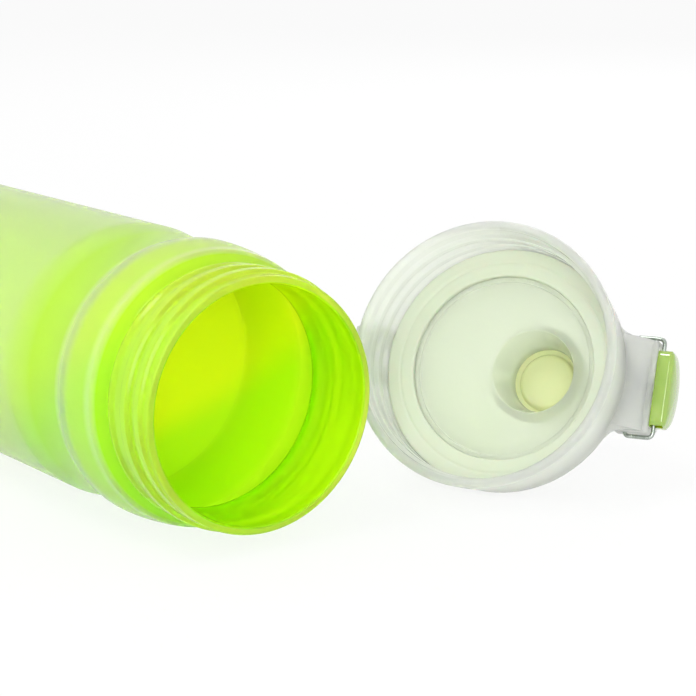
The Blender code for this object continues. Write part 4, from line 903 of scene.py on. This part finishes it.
def makeCoverSpring(p, k, c):
    # a helix along y round the pin, with a leg on the skirt and a leg behind the cover's bridge. It unwinds as
    # the cover opens: along the pin, one end stays with the cap and the other goes with the cover
    first = tangentAngle(p, k, p["footX"], p["footZ"], 1)
    last = tangentAngle(p, k, p["headX"], c["bridgeLow"], -1) + 2 * math.pi * (p["coverTurns"] + 1)
    half = (2 * p["coverWire"] + p["coverGap"]) * (last - first) / (4 * math.pi)
    a = np.linspace(first, last, p["points"])
    coil = np.stack([k["x"] + p["coverRadius"] * np.cos(a), np.linspace(-half, half, p["points"]),
                     k["z"] + p["coverRadius"] * np.sin(a)], 1)
    runOn = (c["bridgeHigh"] - c["bridgeLow"]) / (c["bridgeLow"] - coil[-1, 2])
    head = (p["headX"] + (p["headX"] - coil[-1, 0]) * runOn, half, c["bridgeHigh"])
    wire = tube(np.vstack([(p["footX"], -half, p["footZ"]), coil, head]), p["coverWire"], p["sides"])
    piece = putPiece("coverSpring", [wire], lidFrame, steel, None, ["cover_spring"])
    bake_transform(piece)


def makeButtonSpring(p):
    # a helix along x between the pocket's floor and the button's back. It shortens by the button's travel
    a = np.linspace(0, 2 * math.pi * p["buttonTurns"], p["points"])
    path = np.stack([np.linspace(p["buttonFrom"], p["buttonTo"], p["points"]), p["buttonRadius"] * np.sin(a),
                     p["buttonHeight"] - p["buttonRadius"] * np.cos(a)], 1)
    wire = tube(path, p["buttonWire"], p["sides"])
    piece = putPiece("buttonSpring", [wire], lidFrame, steel, "cap", ["button_spring"])
    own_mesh(piece)


putPiece("hingePin", [makePin(hinge)], lidFrame, steel, "cap", ["hinge_pin"])
makeCoverSpring(springs, hinge, cover)


button = dict(
    near=26.4 * mm, flank=30.5 * mm, far=37.6 * mm, half=10.1 * mm, corner=1.8 * mm,
    back=37.6 * mm, backCut=0.25 * mm, face=41.6 * mm, edge=0.55 * mm, dome=1.15 * mm, domePower=0.9,
    barIn=32.2 * mm, barOut=33.5 * mm, barLow=34.3 * mm, barHigh=36.0 * mm, barEdge=0.2 * mm,
    armIn=4.6 * mm, armOut=5.7 * mm, overlap=0.3 * mm, travel=1.5 * mm,
)
wires = dict(
    radius=0.55 * mm, frontX=39.05 * mm, rootX=31.8 * mm, z=27.9 * mm, bend=1.6 * mm, gap=0.3 * mm,
    grip=1.3 * mm, rootGrip=1.8 * mm, y=12.95 * mm, housingHalf=12.1 * mm, buttonInset=2.0 * mm,
)


def makeButton(p, w):
    # a D with a small edge round, drawn in towards its middle over the dome: size = cos a,
    # height = (sin a) ** domePower
    outline = dOutline(p["near"], p["flank"], p["far"], p["half"], p["corner"])
    middle = np.array((0, (p["near"] + p["far"]) / 2))
    rows = [ring3(middle + (outline - middle) * s, p["back"]) for s in (0.02, 0.5, 0.97)]
    rows += [ring3(insetOf(outline, p["backCut"]), p["back"]), ring3(outline, p["back"] + p["backCut"])]
    rows += [ring3(outline, x) for x in np.linspace(p["back"] + 0.6 * mm, p["face"] - 0.6 * mm, 5)]
    for a in np.radians((10, 35, 60, 82)):
        inward, back = p["edge"] * (1 - math.cos(a)), p["edge"] * (1 - math.sin(a))
        rows.append(ring3(insetOf(outline, inward), p["face"] - back))
    top = insetOf(outline, p["edge"])
    for a in np.radians(np.linspace(4, 89, 22)):
        rise = p["dome"] * math.sin(a) ** p["domePower"]
        rows.append(ring3(middle + (top - middle) * math.cos(a), p["face"] + rise))
    solids = [closedSolid(np.array(rows))]
    solids.append(roundedBox((p["barIn"], -p["armOut"], p["barLow"]),
                             (p["barOut"], p["armOut"], p["barHigh"]), p["barEdge"], "Y"))
    for low, high in ((p["armIn"], p["armOut"]), (-p["armOut"], -p["armIn"])):
        solids.append(roundedBox((p["barIn"] + p["overlap"], low, p["barLow"]),
                                 (p["back"] + p["overlap"], high, p["barHigh"]), p["barEdge"], "X"))
    piece = putPiece("pushButton", solids, lidFrame, glossLime, "button", ["push_button"], sharp=50)
    # a notch in each flank, in which the wire's front end lies while the button travels past it
    reach = w["radius"] + w["gap"]
    for side in (-1, 1):
        low, high = sorted((side * (p["half"] - w["grip"] - w["gap"]), side * (p["half"] + 1 * mm)))
        cutAway(piece, (w["frontX"] - reach, low, w["z"] - reach),
                (w["frontX"] + reach + p["travel"], high, w["z"] + reach), lidFrame)


def makeWires(p):
    # each wire leaves the housing's flank, runs outward beside it and bends into the button's notch
    rootY, frontY = p["housingHalf"] - p["rootGrip"], p["housingHalf"] - p["buttonInset"] - p["grip"]
    for side, end in ((-1, "Upper"), (1, "Lower")):
        corners = [(p["rootX"], side * rootY, p["z"]), (p["rootX"], side * p["y"], p["z"]),
                   (p["frontX"], side * p["y"], p["z"]), (p["frontX"], side * frontY, p["z"])]
        path = densify(bentPath(corners, p["bend"]), 0.8 * mm)
        wire = tube(path, p["radius"], 18)
        putPiece("buttonWire" + end, [wire], lidFrame, steel, "cap", ["button_wire_" + end.lower()])


makeButton(button, wires)
makeButtonSpring(springs)
makeWires(wires)


stage = dict(floor=0.93, floorGlow=0.85, floorHalf=6.0, world=0.75)
lamps = dict(
    key=dict(place=(0.1, -0.5, 0.9), aim=(0.0, 0.0, 0.03), size=0.35, power=2.5),
    fill=dict(place=(-0.6, 0.9, 0.7), aim=(0.0, 0.0, 0.03), size=0.6, power=3.0),
    front=dict(place=(0.75, -0.45, 0.30), aim=(0.05, 0.0, 0.03), size=0.5, power=3.0),
)
view = dict(
    fromMouth=(0.4322, -0.2771, 0.1234), right=(0.5718, 0.8204, 0.0), forward=(-0.8023, 0.5592, -0.2088),
    lens=117.8, sensor=36, clip=0.02,
)


def seenDirectly(tree):
    # 1 for a ray that comes from the camera, or by way of a gloss or through the plastic, and 0 for light's own
    path = addNode(tree, "ShaderNodeLightPath")
    total = path.outputs["Is Camera Ray"]
    for name in ("Is Glossy Ray", "Is Transmission Ray"):
        both = addNode(tree, "ShaderNodeMath", operation="MAXIMUM")
        tree.links.new(total, both.inputs[0])
        tree.links.new(path.outputs[name], both.inputs[1])
        total = both.outputs[0]
    return total


def mixedOutput(tree, kind, share, a, b):
    # the output shows a where share is 0 and b where it is 1
    out, mix = addNode(tree, kind), addNode(tree, "ShaderNodeMixShader")
    tree.links.new(share, mix.inputs["Fac"])
    tree.links.new(a.outputs[0], mix.inputs[1])
    tree.links.new(b.outputs[0], mix.inputs[2])
    tree.links.new(mix.outputs[0], out.inputs["Surface"])


def makeFloor(p):
    # a plain white floor. To the camera it glows, so that it reads as white and keeps only a soft shadow
    mesh = bpy.data.meshes.new("floor")
    r = p["floorHalf"]
    mesh.from_pydata([(-r, -r, 0), (r, -r, 0), (r, r, 0), (-r, r, 0)], [], [(0, 1, 2, 3)])
    floor = newObject("floor", mesh)
    mat = bpy.data.materials.new("whiteFloor")
    mat.use_nodes = True
    tree = mat.node_tree
    tree.nodes.clear()
    matte = addNode(tree, "ShaderNodeBsdfDiffuse", Color=(p["floor"],) * 3 + (1,))
    glow = addNode(tree, "ShaderNodeEmission", Color=(1, 1, 1, 1), Strength=1.0)
    share = addNode(tree, "ShaderNodeMath", operation="MULTIPLY")
    share.inputs[1].default_value = p["floorGlow"]
    tree.links.new(seenDirectly(tree), share.inputs[0])
    mixedOutput(tree, "ShaderNodeOutputMaterial", share.outputs[0], matte, glow)
    mesh.materials.append(mat)


def makeWorld(p):
    world = bpy.data.worlds.new("white")
    bpy.context.scene.world = world
    world.use_nodes = True
    tree = world.node_tree
    tree.nodes.clear()
    light = addNode(tree, "ShaderNodeBackground", Color=(1, 1, 1, 1), Strength=p["world"])
    seen = addNode(tree, "ShaderNodeBackground", Color=(1, 1, 1, 1), Strength=1.0)
    mixedOutput(tree, "ShaderNodeOutputWorld", seenDirectly(tree), light, seen)


def makeLamp(name, p):
    data = bpy.data.lights.new(name, "AREA")
    data.shape, data.size, data.energy = "DISK", p["size"], p["power"]
    lamp = newObject(name, data)
    lamp.location = p["place"]
    lamp.rotation_euler = (Vector(p["aim"]) - Vector(p["place"])).to_track_quat("-Z", "Y").to_euler()


def makeCamera(p):
    right, forward = Vector(p["right"]).normalized(), Vector(p["forward"]).normalized()
    up = right.cross(forward)
    data = bpy.data.cameras.new("camera")
    data.lens, data.sensor_width, data.clip_start = p["lens"], p["sensor"], p["clip"]
    camera = newObject("camera", data)
    basis = Matrix((right, up, -forward)).transposed().to_4x4()
    basis.translation = Vector(mouth) + Vector(p["fromMouth"])
    camera.matrix_world = basis
    bpy.context.scene.camera = camera


makeFloor(stage)
makeWorld(stage)
for lampName, lampSizes in lamps.items():
    makeLamp(lampName, lampSizes)
makeCamera(view)
bpy.context.scene.view_settings.view_transform = "Standard"
print("stage, light and camera made")
